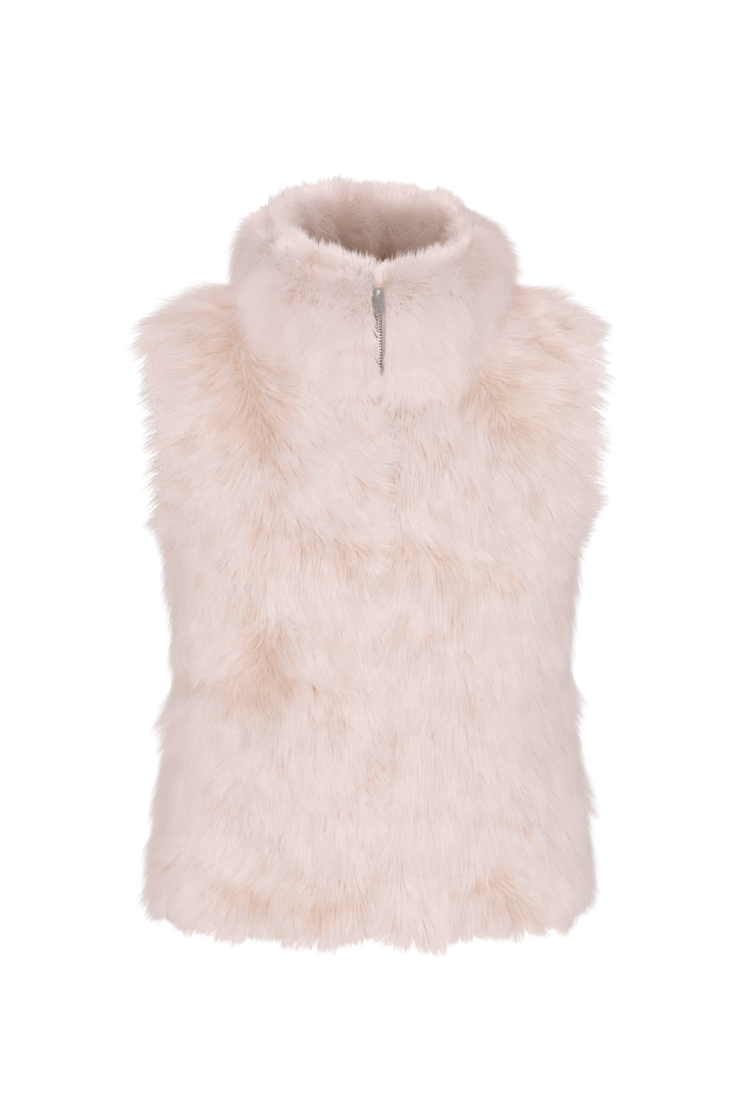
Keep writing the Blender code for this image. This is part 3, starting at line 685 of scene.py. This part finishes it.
def panel_grid(centre, edge, side, edge_x, angles, chest_rows, neck_share):
    """Rows of points of a half panel, hem to shoulder, from the centre or neckline to the side or armhole."""
    shares = np.linspace(0, 1, PANEL_COLUMNS + 1)
    rows = []
    for z in np.linspace(HEM_Z, UNDERARM_Z, LOWER_ROWS + 1):
        inner = (edge_x, side * out_at(centre, z), z)
        rows.append(section_points(inner, (out_at(SIDE_SECTIONS, z), 0.0, z), 90, shares))
    neck_start = neckline(angles[0])
    for share in np.linspace(0, 1, chest_rows + 1)[1:]:
        z = UNDERARM_Z + (neck_start[2] - UNDERARM_Z) * share
        inner = (edge_x, side * out_at(centre, z), z) if share < 1 else neck_start
        outer, turn = armhole(edge, neck_share * share)
        rows.append(section_points(inner, outer, turn, shares))
    for i, angle in enumerate(angles[1:], start=1):
        outer, turn = armhole(edge, neck_share + (1 - neck_share) * i / (len(angles) - 1))
        rows.append(section_points(neckline(angle), outer, turn, shares))
    return np.array(rows)


def collar_grid(inset=0.0):
    right = [*FRONT_ANGLES, *BACK_ANGLES[-2::-1]]
    angles = right + [360 - a for a in right[-2::-1]]
    rows = np.array([[collar_point(a, h) for a in angles] for h in np.linspace(0, 1, COLLAR_ROWS + 1)])
    return rows - np.array([outward(a) for a in angles]) * inset


def mirrored(rows):
    return rows * np.array([-1, 1, 1])


def cloth_grids():
    """{piece: its grids of points, each with whether its faces turn over}."""
    front = panel_grid(CENTRE_FRONT, ARMHOLE_FRONT, -1, ZIP_EDGE, FRONT_ANGLES, CHEST_ROWS, FRONT_NECK_SHARE)
    back = panel_grid(CENTRE_BACK, ARMHOLE_BACK, 1, 0.0, BACK_ANGLES, BACK_CHEST_ROWS, BACK_NECK_SHARE)
    return {
        "front_left": [(front, False)],
        "front_right": [(mirrored(front), True)],
        "back": [(back, True), (mirrored(back), False)],
        "collar": [(collar_grid(), False)],
        "collar_facing": [(collar_grid(FACING_INSET), True)],
    }


def link(name, mesh):
    made = bpy.data.objects.new(name, mesh)
    bpy.context.scene.collection.objects.link(made)
    return made


def new_mesh(name, points, faces=()):
    mesh = bpy.data.meshes.new(name)
    mesh.from_pydata(points, [], faces)
    return mesh


def write_attribute(mesh, name, values):
    kind = "FLOAT_VECTOR" if values.ndim == 2 else "FLOAT"
    made = mesh.attributes.new(name, kind, "POINT")
    flat = np.ascontiguousarray(values, np.float32).ravel()
    made.data.foreach_set("vector" if values.ndim == 2 else "value", flat)


def unit(vectors):
    length = np.linalg.norm(vectors, axis=-1, keepdims=True)
    return vectors / np.where(length > 1e-9, length, 1.0)


def grid_normals(grid, flip):
    normals = unit(np.cross(np.gradient(grid, axis=1), np.gradient(grid, axis=0)))
    return -normals if flip else normals


def laid(vectors, normals):
    """Vectors pressed flat onto the cloth."""
    return vectors - normals * (vectors * normals).sum(axis=-1, keepdims=True)


def along_x(values):
    """Sideways vectors of these lengths."""
    return values[..., None] * np.array([1.0, 0.0, 0.0])


def nearest_on(line, grid):
    """Which point of a line lies nearest to each point of a grid, and how far off it is."""
    gaps = np.linalg.norm(grid[:, :, None] - line, axis=-1)
    return gaps.argmin(axis=-1), gaps.min(axis=-1)


def armhole_outward(grid, normals):
    """Directions that leave the cloth across its armhole edge, from underarm to shoulder."""
    edge = grid[LOWER_ROWS:, -1]
    across_seam = np.array([1, -1, 1])
    whole = np.array([edge[1] * across_seam, *edge, edge[-2] * across_seam])
    away = unit(np.cross(whole[2:] - whole[:-2], normals[LOWER_ROWS:, -1]))
    return away * np.sign((away * (edge - grid[LOWER_ROWS:, -2])).sum())


def near_zip(grid):
    """How near each point is to the zip, from 1 beside it to 0, and that as a lean towards it."""
    near = smooth_step(1 - (np.abs(grid[..., 0]) - ZIP_EDGE) / ZIP_SIDE) * (grid[..., 1] < 0)
    return near, -np.sign(grid[..., 0]) * near


def run_for(share):
    """How far fur of this share of the full height runs along the cloth."""
    return RUN_KEPT + (1 - RUN_KEPT) * share


def combed_body(grid, normals, face):
    """How the fur of a front or half of the back grows, lies and reaches, and how far up its strands carry
    painted shade.
    """
    flat = grid[..., [0, 2]]
    pull = np.zeros_like(flat) + [0.0, -DOWNWARD_PULL]
    for stroke in STROKES[face]:
        off = np.linalg.norm(flat - [stroke.x, stroke.z], axis=-1) / stroke.radius
        pull += np.exp(-(off**2))[..., None] * [stroke.right, stroke.up]
    pull = unit(pull)
    share = np.ones(grid.shape[:2])
    reach = np.full(grid.shape[:2], ROOT_SHADE_REACH)
    for parting in PARTINGS[face]:
        start = np.array([parting.x0, parting.z0])
        line = np.array([parting.x1, parting.z1]) - start
        place = np.clip((flat - start) @ line / (line @ line), 0, 1)
        away = flat - start - place[..., None] * line
        gap = np.linalg.norm(away, axis=-1) / parting.half_width
        pull += unit(away) * (parting.pull * np.exp(-((gap / PARTING_PULL_WIDTH) ** 2)))[..., None]
        share -= PARTING_DEPTH * np.exp(-(gap**2)) * parting.pull
        # Painted shade along the partings: strands beside the line carry more of the root shade
        reach += PARTING_SHADE_REACH * np.exp(-((gap / PARTING_SHADE_WIDTH) ** 2)) * parting.pull
    comb = laid(np.stack([pull[..., 0], np.zeros(grid.shape[:2]), pull[..., 1]], axis=-1), normals)
    edge = grid[LOWER_ROWS:, -1]
    nearest, gap = nearest_on(edge, grid)
    beside_arm = smooth_step(1 - gap / ARMHOLE_LEAN)
    high = smooth_step((edge[nearest, 2] - ARMHOLE_FALL_Z) / ARMHOLE_FALL_RISE)
    fall = armhole_outward(grid, normals)[nearest] + high[..., None] * np.array([0.0, 0.0, -ARMHOLE_FALL])
    downward = unit(grid[:1] - grid[1:2])
    beside_hem = smooth_step(1 - np.linalg.norm(grid - grid[:1], axis=-1) / HEM_LEAN)
    lean = unit(fall) * beside_arm[..., None] + downward * beside_hem[..., None]
    neck = np.array([neckline(a) for a in np.linspace(0, 360, NECK_POINTS)])
    nearest, gap = nearest_on(neck, grid)
    from_neck = unit(grid - neck[nearest]) * smooth_step(1 - gap / NECK_COMB_WIDTH)[..., None]
    comb = unit(comb) + lean * EDGE_COMB + from_neck
    share *= 1 - NECK_SHORT * (1 - smooth_step(gap / NECK_SHORT_WIDTH))
    if face == "front":
        beside_zip, to_zip = near_zip(grid)
        comb += along_x(to_zip * (ZIP_COMB + ZIP_HEM_COMB * beside_hem))
        lean += along_x(to_zip * beside_hem)
        share *= 1 - ZIP_SHORT * beside_zip
    run = run_for(share) * (1 - (ARM_RUN_LOSS + ARM_TOP_RUN_LOSS * high) * beside_arm)
    run *= 1 - HEM_RUN_LOSS * beside_hem
    side = (np.abs(grid[..., 0]) / np.abs(grid[0, -1, 0])) ** HEM_SIDE_POWER
    share *= 1 - (HEM_SHORT + HEM_SIDE_SHORT * side) * beside_hem
    return unit(normals + lean * EDGE_LEAN), unit(laid(comb, normals)), share, run, reach, np.ones_like(share)


def combed_collar(grid, normals, inside):
    """The same for the collar or its facing."""
    height = np.linspace(0, 1, len(grid))[:, None] + np.zeros(grid.shape[:2])
    turn = np.arctan2(grid[..., 0], -grid[..., 1])
    fan = sum(wave.size * np.sin(turn * wave.count + wave.start) for wave in FAN_WAVES)
    fanned = unit(np.gradient(grid, axis=1)) * fan[..., None]
    roll = np.clip(1 - (1 - height) / COLLAR_ROLL, 0, 1)
    lip = smooth_step(1 - (1 - height) / COLLAR_LIP)
    beside_zip, to_zip = near_zip(grid)
    upward = np.array([0.0, 0.0, 1.0])
    turned = roll if inside else roll**COLLAR_TURN_POWER
    tilt = (turned * math.pi / 2)[..., None]
    closed = roll * FACING_ZIP_LEAN if inside else lip * COLLAR_ZIP_LEAN
    rise = normals * np.cos(tilt) + upward * np.sin(tilt) + along_x(to_zip * closed)
    closing = ZIP_CLOSING * (1 - smooth_step(roll / ZIP_CLOSING_ROLL))
    closing += ZIP_FOOT_CLOSING * smooth_step(1 - height / ZIP_FOOT)
    hanging = unit(laid(fanned + along_x(to_zip * closing) - upward, normals))
    swept = fanned + along_x(CREST_SWEEP * (1 - beside_zip) + to_zip * inside)
    swept += normals * (CREST_OUT - CREST_CROSS * lip)[..., None]
    comb = unit(hanging * (1 - turned)[..., None] + swept * turned[..., None])
    if inside:
        full = 1 - FACING_SHORT * (1 - smooth_step(height / FACING_SHORT_HEIGHT))
        reach = ROOT_SHADE_REACH + (COLLAR_SHADE_REACH - ROOT_SHADE_REACH) * roll
        loose = np.ones_like(roll)
    else:
        full = 1 - COLLAR_ZIP_SHORT * beside_zip
        reach = np.full_like(roll, COLLAR_SHADE_REACH)
        loose = 1 - COLLAR_ZIP_CALM * beside_zip
    crest = CREST_HEIGHT + CREST_FRONT_RISE * np.cos(turn) - CREST_RIGHT_RISE * np.sin(turn)
    pile = PIECES["collar_facing" if inside else "collar"].pile
    share = full + (crest / pile - full) * roll**CREST_POWER
    run = run_for(share) * (1 - (1 - CREST_RUN) * turned)
    return unit(rise), comb, share, run, reach, loose * (1 - CREST_CALM * roll)


def cloth_mesh(piece, grids):
    """One smooth sheet from grids of points, joined where they meet, that carries how its fur grows."""
    coat = PIECES[piece]
    points, faces = [], []
    columns = {name: [] for name in GROWTH}
    for grid, flip in grids:
        normals = grid_normals(grid, flip)
        if piece.startswith("collar"):
            combed = combed_collar(grid, normals, piece == "collar_facing")
        else:
            combed = combed_body(grid, normals, piece.split("_")[0])
        rise, comb, share, run, reach, loose = combed
        across = unit(np.cross(rise, comb))
        # How deep inside the collar each point lies, for the painted shade there
        deep = np.linspace(1, 0, len(grid))[:, None] * np.ones(grid.shape[:2]) * (piece == "collar_facing")
        grown = (rise, comb, across, share * coat.pile, run * coat.run, reach, loose, deep)
        for name, values in zip(GROWTH, grown):
            columns[name].append(values.reshape(-1, *values.shape[2:]))
        first, width = len(points), grid.shape[1]
        points += [tuple(p) for p in grid.reshape(-1, 3)]
        for r in range(grid.shape[0] - 1):
            for c in range(width - 1):
                a = first + r * width + c
                face = [a, a + 1, a + width + 1, a + width]
                faces.append(face[::-1] if flip else face)
    mesh = new_mesh(piece + "_cloth", points, faces)
    for name, values in columns.items():
        write_attribute(mesh, name, np.concatenate(values))
    shape = bmesh.new()
    shape.from_mesh(mesh)
    bmesh.ops.remove_doubles(shape, verts=shape.verts, dist=SEAM_GAP)
    shape.to_mesh(mesh)
    shape.free()
    mesh.shade_smooth()
    return mesh


def strand_shape():
    """A strand as a narrow strip that ends in a point; along runs from root to tip and side across it."""
    places = [(edge, level) for level in STRAND_LEVELS for edge in (-1.0, 1.0)] + [(0.0, 1.0)]
    points = [(edge * STRAND_SHARE * STRAND_SIZE, 0.0, level * STRAND_SIZE) for edge, level in places]
    side, along = np.array(places).T
    faces = [(2 * k, 2 * k + 1, 2 * k + 3, 2 * k + 2) for k in range(len(STRAND_LEVELS) - 1)]
    last = 2 * (len(STRAND_LEVELS) - 1)
    faces.append((last, last + 1, last + 2))
    mesh = new_mesh("strand", points, faces)
    write_attribute(mesh, "along", along)
    write_attribute(mesh, "side", side)
    return link("strand", mesh)


def new_tree(name, inputs):
    """A geometry tree with inputs of these names and kinds: its maker, input wires and output node."""
    tree = bpy.data.node_groups.new(name, "GeometryNodeTree")
    tree.interface.new_socket("Geometry", in_out="INPUT", socket_type="NodeSocketGeometry")
    for label, kind in inputs:
        tree.interface.new_socket(label, in_out="INPUT", socket_type="NodeSocket" + kind)
    tree.interface.new_socket("Geometry", in_out="OUTPUT", socket_type="NodeSocketGeometry")
    maker = NodeMaker(tree)
    start = tree.nodes.new("NodeGroupInput")
    wires = {s.name: Wire(maker, s) for s in start.outputs if s.name}
    return maker, wires, tree.nodes.new("NodeGroupOutput")


def stored(maker, geometry, name, value, kind):
    settings = {"data_type": kind, "domain": "POINT"}
    return maker.add("GeometryNodeStoreNamedAttribute", settings, {
        "Geometry": geometry, "Name": name, "Value": value,
    })


def recalled(maker, name, kind):
    return maker.add("GeometryNodeInputNamedAttribute", {"data_type": kind}, {"Name": name}, "Attribute")


def shape_of(maker, wire):
    """The shape of an object that a tree is given."""
    settings = {"transform_space": "ORIGINAL"}
    return maker.add("GeometryNodeObjectInfo", settings, {"Object": wire}, "Geometry")


def chance_at(maker, place, output):
    """Chance that depends only on a place."""
    return maker.add("ShaderNodeTexWhiteNoise", {"noise_dimensions": "3D"}, {"Vector": place}, output)


def normalized(maker, vector):
    return maker.add("ShaderNodeVectorMath", {"operation": "NORMALIZE"}, {0: vector})


def fur_tree():
    """Scatters strands over the cloth and bends each along the comb, gathered into locks."""
    maker, given, end = new_tree("fur", [
        ("Strands", "Float"), ("Locks", "Float"), ("Lock pull", "Float"), ("Strand width", "Float"),
        ("Wave", "Float"), ("Seed", "Int"), ("Strand", "Object"), ("Fur", "Material"),
    ])
    roots, locks = (
        maker.add("GeometryNodeDistributePointsOnFaces", {"distribute_method": "RANDOM"}, {
            "Mesh": given["Geometry"], "Density": given[density], "Seed": seed,
        })
        for density, seed in (("Strands", given["Seed"]), ("Locks", given["Seed"] + 1))
    )
    place = maker.add("GeometryNodeInputPosition")
    nearest = maker.add("GeometryNodeSampleNearest", {"domain": "POINT"}, {"Geometry": locks})
    centre = maker.add("GeometryNodeSampleIndex", {"data_type": "FLOAT_VECTOR", "domain": "POINT"}, {
        "Geometry": locks, "Value": place, "Index": nearest,
    })
    points = stored(maker, roots, "root", place, "FLOAT_VECTOR")
    points = stored(maker, points, "lock", centre, "FLOAT_VECTOR")
    fur = maker.add("GeometryNodeInstanceOnPoints", {}, {
        "Points": points, "Instance": shape_of(maker, given["Strand"]),
    })
    fur = maker.add("GeometryNodeRealizeInstances", {}, {"Geometry": fur})
    along, side, pile, run, loose = (
        recalled(maker, name, "FLOAT") for name in ("along", "side", "pile", "run", "loose")
    )
    up, comb, root, lock, across = (
        recalled(maker, name, "FLOAT_VECTOR") for name in ("rise", "comb", "root", "lock", "across")
    )
    chance = chance_at(maker, root * STRAND_NOISE, "Value")
    scatter_way = chance_at(maker, root * SCATTER_NOISE, "Color")
    lock_chance = chance_at(maker, lock * LOCK_NOISE, "Value")
    lock_way = maker.noise(lock, scale=24.0, detail=1.0, output="Color")
    length = LENGTH_LEAST + LENGTH_BY_STRAND * chance + LENGTH_BY_LOCK * lock_chance
    half = (0.5, 0.5, 0.5)
    bend = up * (pile * length * along * (2.0 - along)) + comb * (run * length * along**RUN_POWER)
    gather = (lock - root) * (given["Lock pull"] * along**GATHER_POWER)
    wander = (lock_way - half) * (given["Wave"] * WAVE_GAIN * loose * along * along)
    wander = wander + (scatter_way - half) * (SCATTER_SHARE * (pile + run) * along)
    across = normalized(maker, across + up * ((chance - 0.5) * TWIST))
    width = across * (side * given["Strand width"] * 0.5 * (1.0 - TAPER * along))
    fur = maker.add("GeometryNodeSetPosition", {}, {
        "Geometry": fur, "Position": root + bend + gather + wander + width,
    })
    fur = stored(maker, fur, "tone", lock_chance * LOCK_TONE + chance * (1 - LOCK_TONE), "FLOAT")
    fur = maker.add("GeometryNodeSetShadeSmooth", {}, {"Geometry": fur})
    fur = maker.add("GeometryNodeSetMaterial", {}, {"Geometry": fur, "Material": given["Fur"]})
    maker.tree.links.new(fur.socket, end.inputs[0])
    return maker.tree


def made_by_nodes(name, source, tree, values):
    """The plain mesh that a geometry tree makes from a source mesh, as a new object."""
    holder = link(name + "_source", source)
    modifier = holder.modifiers.new("nodes", "NODES")
    modifier.node_group = tree
    for item in tree.interface.items_tree:
        if item.item_type == "SOCKET" and item.in_out == "INPUT" and item.name in values:
            modifier[item.identifier] = values[item.name]
    graph = bpy.context.evaluated_depsgraph_get()
    mesh = bpy.data.meshes.new_from_object(holder.evaluated_get(graph))
    bpy.data.objects.remove(holder)
    mesh.name = name
    return link(name, mesh)


class GILET_OT_cloth_and_fur(bpy.types.Operator):
    """Make each cut piece: its knitted backing and the fur that grows from it"""

    bl_idname = "gilet.cloth_and_fur"
    bl_label = "Cloth and fur"

    def execute(self, context):
        settings = context.scene.gilet_fur
        tree = fur_tree()
        strand = strand_shape()
        cloth_finish = cloth_material(settings)
        coat_finish = fur_material(settings)
        for seed, (piece, grids) in enumerate(cloth_grids().items()):
            cut = PIECES[piece]
            cloth = cloth_mesh(piece, grids)
            area = sum(face.area for face in cloth.polygons)
            fur = made_by_nodes(piece + "_fur", cloth.copy(), tree, {
                "Strands": cut.strands / area,
                "Locks": 1 / settings.lock_spacing**2,
                "Lock pull": settings.lock_pull,
                "Strand width": settings.strand_width,
                "Wave": settings.wave,
                "Seed": seed * SEED_STEP,
                "Strand": strand,
                "Fur": coat_finish,
            })
            backing = link(piece + "_backing", cloth)
            for name in GROWTH:
                cloth.attributes.remove(cloth.attributes[name])
            cloth.materials.append(cloth_finish)
            wall = backing.modifiers.new("wall", "SOLIDIFY")
            wall.thickness = settings.cloth_thickness
            wall.offset = 1.0
            for made in (fur, backing):
                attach(made, BODY)
            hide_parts(piece)
        bpy.data.objects.remove(strand)
        return {"FINISHED"}


def zip_path():
    """Points of the zip's centre line from the hem to the slider, close together."""
    neck_z = neckline(FIRST_ANGLE)[2]
    body = [(0.0, -out_at(CENTRE_FRONT, z), z) for z in np.linspace(HEM_Z, neck_z, BODY_ZIP_STEPS)[:-1]]
    heights = np.linspace(0, ZIP_TOP_SHARE, COLLAR_ZIP_STEPS)
    collar = [(0.0, *collar_point(FIRST_ANGLE, height)[1:]) for height in heights]
    return np.array(body + collar)


def tooth_shape():
    """One tooth, reaching from the tape to just past the middle of the zip."""
    mesh = bpy.data.meshes.new("tooth")
    shape = bmesh.new()
    bmesh.ops.create_cube(shape, size=1.0)
    bmesh.ops.scale(shape, vec=(TOOTH_LENGTH, TOOTH_HEIGHT, TOOTH_DEPTH), verts=shape.verts)
    bmesh.ops.translate(shape, vec=(TOOTH_LENGTH / 2 - TOOTH_OVERLAP, 0, 0), verts=shape.verts)
    bmesh.ops.bevel(shape, geom=shape.edges, offset=TOOTH_ROUND, segments=1, affect="EDGES")
    shape.to_mesh(mesh)
    shape.free()
    return link("tooth", mesh)


def teeth_points():
    """A mesh of bare points, one for each tooth, with the directions that it faces."""
    line = zip_path()
    lengths = np.concatenate([[0.0], np.cumsum(np.linalg.norm(np.diff(line, axis=0), axis=1))])
    places = np.arange(BOX_LENGTH + TOOTH_PITCH / 2, lengths[-1], TOOTH_PITCH / 2)
    points = np.stack([np.interp(places, lengths, line[:, k]) for k in range(3)], axis=1)
    along = unit(np.gradient(points, axis=0))
    out = np.stack([np.zeros(len(points)), -along[:, 2], along[:, 1]], axis=1)
    sides = np.where(np.arange(len(points)) % 2, 1.0, -1.0)
    mesh = new_mesh("teeth_points", [tuple(p) for p in points - out * TOOTH_SINK])
    write_attribute(mesh, "across", np.stack([sides, 0 * sides, 0 * sides], axis=1))
    write_attribute(mesh, "out", out)
    return mesh


def teeth_tree():
    """Sets a tooth on every point, turned to face out of the front from its own side."""
    maker, given, end = new_tree("zip_teeth", [("Tooth", "Object"), ("Metal", "Material")])
    turn = maker.add("FunctionNodeAxesToRotation", {"primary_axis": "X", "secondary_axis": "Z"}, {
        0: recalled(maker, "across", "FLOAT_VECTOR"), 1: recalled(maker, "out", "FLOAT_VECTOR"),
    })
    points = maker.add("GeometryNodeMeshToPoints", {"mode": "VERTICES"}, {"Mesh": given["Geometry"]})
    teeth = maker.add("GeometryNodeInstanceOnPoints", {}, {
        "Points": points, "Instance": shape_of(maker, given["Tooth"]), "Rotation": turn,
    })
    teeth = maker.add("GeometryNodeRealizeInstances", {}, {"Geometry": teeth})
    teeth = maker.add("GeometryNodeSetMaterial", {}, {"Geometry": teeth, "Material": given["Metal"]})
    maker.tree.links.new(teeth.socket, end.inputs[0])
    return maker.tree


def rounded_copy(node, name, radius, finish):
    """A copy of a node of the part with its edges rounded off."""
    mesh = node.data.copy()
    shape = bmesh.new()
    shape.from_mesh(mesh)
    bmesh.ops.remove_doubles(shape, verts=shape.verts, dist=MERGE_GAP)
    flat = math.radians(FLAT_ANGLE)
    bmesh.ops.dissolve_limit(shape, angle_limit=flat, verts=shape.verts, edges=shape.edges)
    shape.to_mesh(mesh)
    shape.free()
    mesh.materials.clear()
    mesh.materials.append(finish)
    made = link(name, mesh)
    bevel = made.modifiers.new("edges", "BEVEL")
    bevel.width = radius
    bevel.segments = EDGE_SEGMENTS
    bevel.limit_method = "ANGLE"
    bevel.angle_limit = math.radians(EDGE_ANGLE)
    return made


class GILET_OT_zip(bpy.types.Operator):
    """Make the zip's teeth and finish its tapes, box, slider and pull"""

    bl_idname = "gilet.zip"
    bl_label = "Zip"

    def execute(self, context):
        settings = context.scene.gilet_zip
        metal, tape = metal_material(settings), tape_material(settings)
        tooth = tooth_shape()
        teeth = made_by_nodes("zip_teeth", teeth_points(), teeth_tree(), {"Tooth": tooth, "Metal": metal})
        bpy.data.objects.remove(tooth)
        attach(teeth, BODY)
        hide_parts("zip_chain")
        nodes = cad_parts
        for name, body in (("zip_slider", BODY), ("zip_pull", "pull")):
            made = rounded_copy(nodes[name], name + "_rounded", settings.edge_round, metal)
            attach(made, body)
            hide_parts(name)
        for name, finish in (("zip_tape_left", tape), ("zip_tape_right", tape), ("zip_box", metal)):
            nodes[name].data.materials.clear()
            nodes[name].data.materials.append(finish)
        return {"FINISHED"}


def area_light(lamp, target):
    """A round soft light that faces the target."""
    light = bpy.data.lights.new(lamp.name, "AREA")
    light.shape = "DISK"
    light.size = lamp.size
    light.energy = lamp.power
    made = link(lamp.name, light)
    way = (target - Vector(lamp.place)).to_track_quat("-Z", "Y")
    made.matrix_world = Matrix.Translation(Vector(lamp.place)) @ way.to_matrix().to_4x4()


def backdrop_mesh(floor_z, width=14.0, front=-5.0, back=4.0, bend=2.0, height=7.0, steps=16):
    """A floor that curves up into a wall behind the gilet."""
    profile = [(front, floor_z), (back - bend, floor_z)]
    for step in range(1, steps + 1):
        turn = math.pi / 2 * step / steps
        profile.append((back - bend + bend * math.sin(turn), floor_z + bend * (1 - math.cos(turn))))
    profile.append((back, floor_z + height))
    points = [(side * width / 2, y, z) for y, z in profile for side in (-1, 1)]
    faces = [(2 * k, 2 * k + 1, 2 * k + 3, 2 * k + 2) for k in range(len(profile) - 1)]
    mesh = new_mesh("floor", points, faces)
    mesh.shade_smooth()
    return mesh


class GILET_OT_stage(bpy.types.Operator):
    """Set the floor, the light and the camera"""

    bl_idname = "gilet.stage"
    bl_label = "Stage"

    def execute(self, context):
        scene = context.scene
        settings = scene.gilet_stage
        floor = link("floor", backdrop_mesh(settings.floor_z))
        finish, _, shader = new_material("floor", roughness=0.9, specular=0.1)
        shader.inputs["Base Color"].default_value = (*settings.floor_colour, 1.0)
        shader.inputs["Emission Color"].default_value = WHITE
        shader.inputs["Emission Strength"].default_value = settings.floor_light
        floor.data.materials.append(finish)
        floor.visible_diffuse = False
        world = bpy.data.worlds.new("studio")
        world.use_nodes = True
        background = world.node_tree.nodes["Background"]
        background.inputs["Color"].default_value = WHITE
        background.inputs["Strength"].default_value = WORLD_LIGHT
        scene.world = world
        target = Vector(settings.target)
        for lamp in LAMPS:
            area_light(lamp, target)
        scene.view_settings.view_transform = "Standard"
        camera = bpy.data.cameras.new("camera")
        camera.sensor_fit = "VERTICAL"
        camera.angle = 2 * math.atan(settings.height / 2 / settings.distance)
        made = link("camera", camera)
        way = Vector((
            math.sin(settings.azimuth) * math.cos(settings.elevation),
            -math.cos(settings.azimuth) * math.cos(settings.elevation),
            math.sin(settings.elevation),
        ))
        turn = (-way).to_track_quat("-Z", "Y").to_matrix().to_4x4()
        made.matrix_world = Matrix.Translation(target + way * settings.distance) @ turn
        scene.camera = made
        return {"FINISHED"}


class GILET_PT_panel(bpy.types.Panel):
    """Sizes and steps of the gilet"""

    bl_label = "Gilet"
    bl_idname = "GILET_PT_panel"
    bl_space_type = "VIEW_3D"
    bl_region_type = "UI"
    bl_category = "Gilet"

    def draw(self, context):
        for group in (context.scene.gilet_fur, context.scene.gilet_zip, context.scene.gilet_stage):
            box = self.layout.box()
            for name in group.__annotations__:
                box.prop(group, name)
        for operator in OPERATORS:
            self.layout.operator(operator.bl_idname)


OPERATORS = (GILET_OT_cloth_and_fur, GILET_OT_zip, GILET_OT_stage)
GROUPS = {"gilet_fur": FurSettings, "gilet_zip": ZipSettings, "gilet_stage": StageSettings}
CLASSES = (*GROUPS.values(), *OPERATORS, GILET_PT_panel)


def register():
    for item in CLASSES:
        bpy.utils.register_class(item)
    for name, group in GROUPS.items():
        setattr(bpy.types.Scene, name, bpy.props.PointerProperty(type=group))


def unregister():
    for name in GROUPS:
        delattr(bpy.types.Scene, name)
    for item in reversed(CLASSES):
        bpy.utils.unregister_class(item)


def main():
    register()
    bpy.ops.gilet.cloth_and_fur()
    bpy.ops.gilet.zip()
    bpy.ops.gilet.stage()


if __name__ == "__main__":
    main()
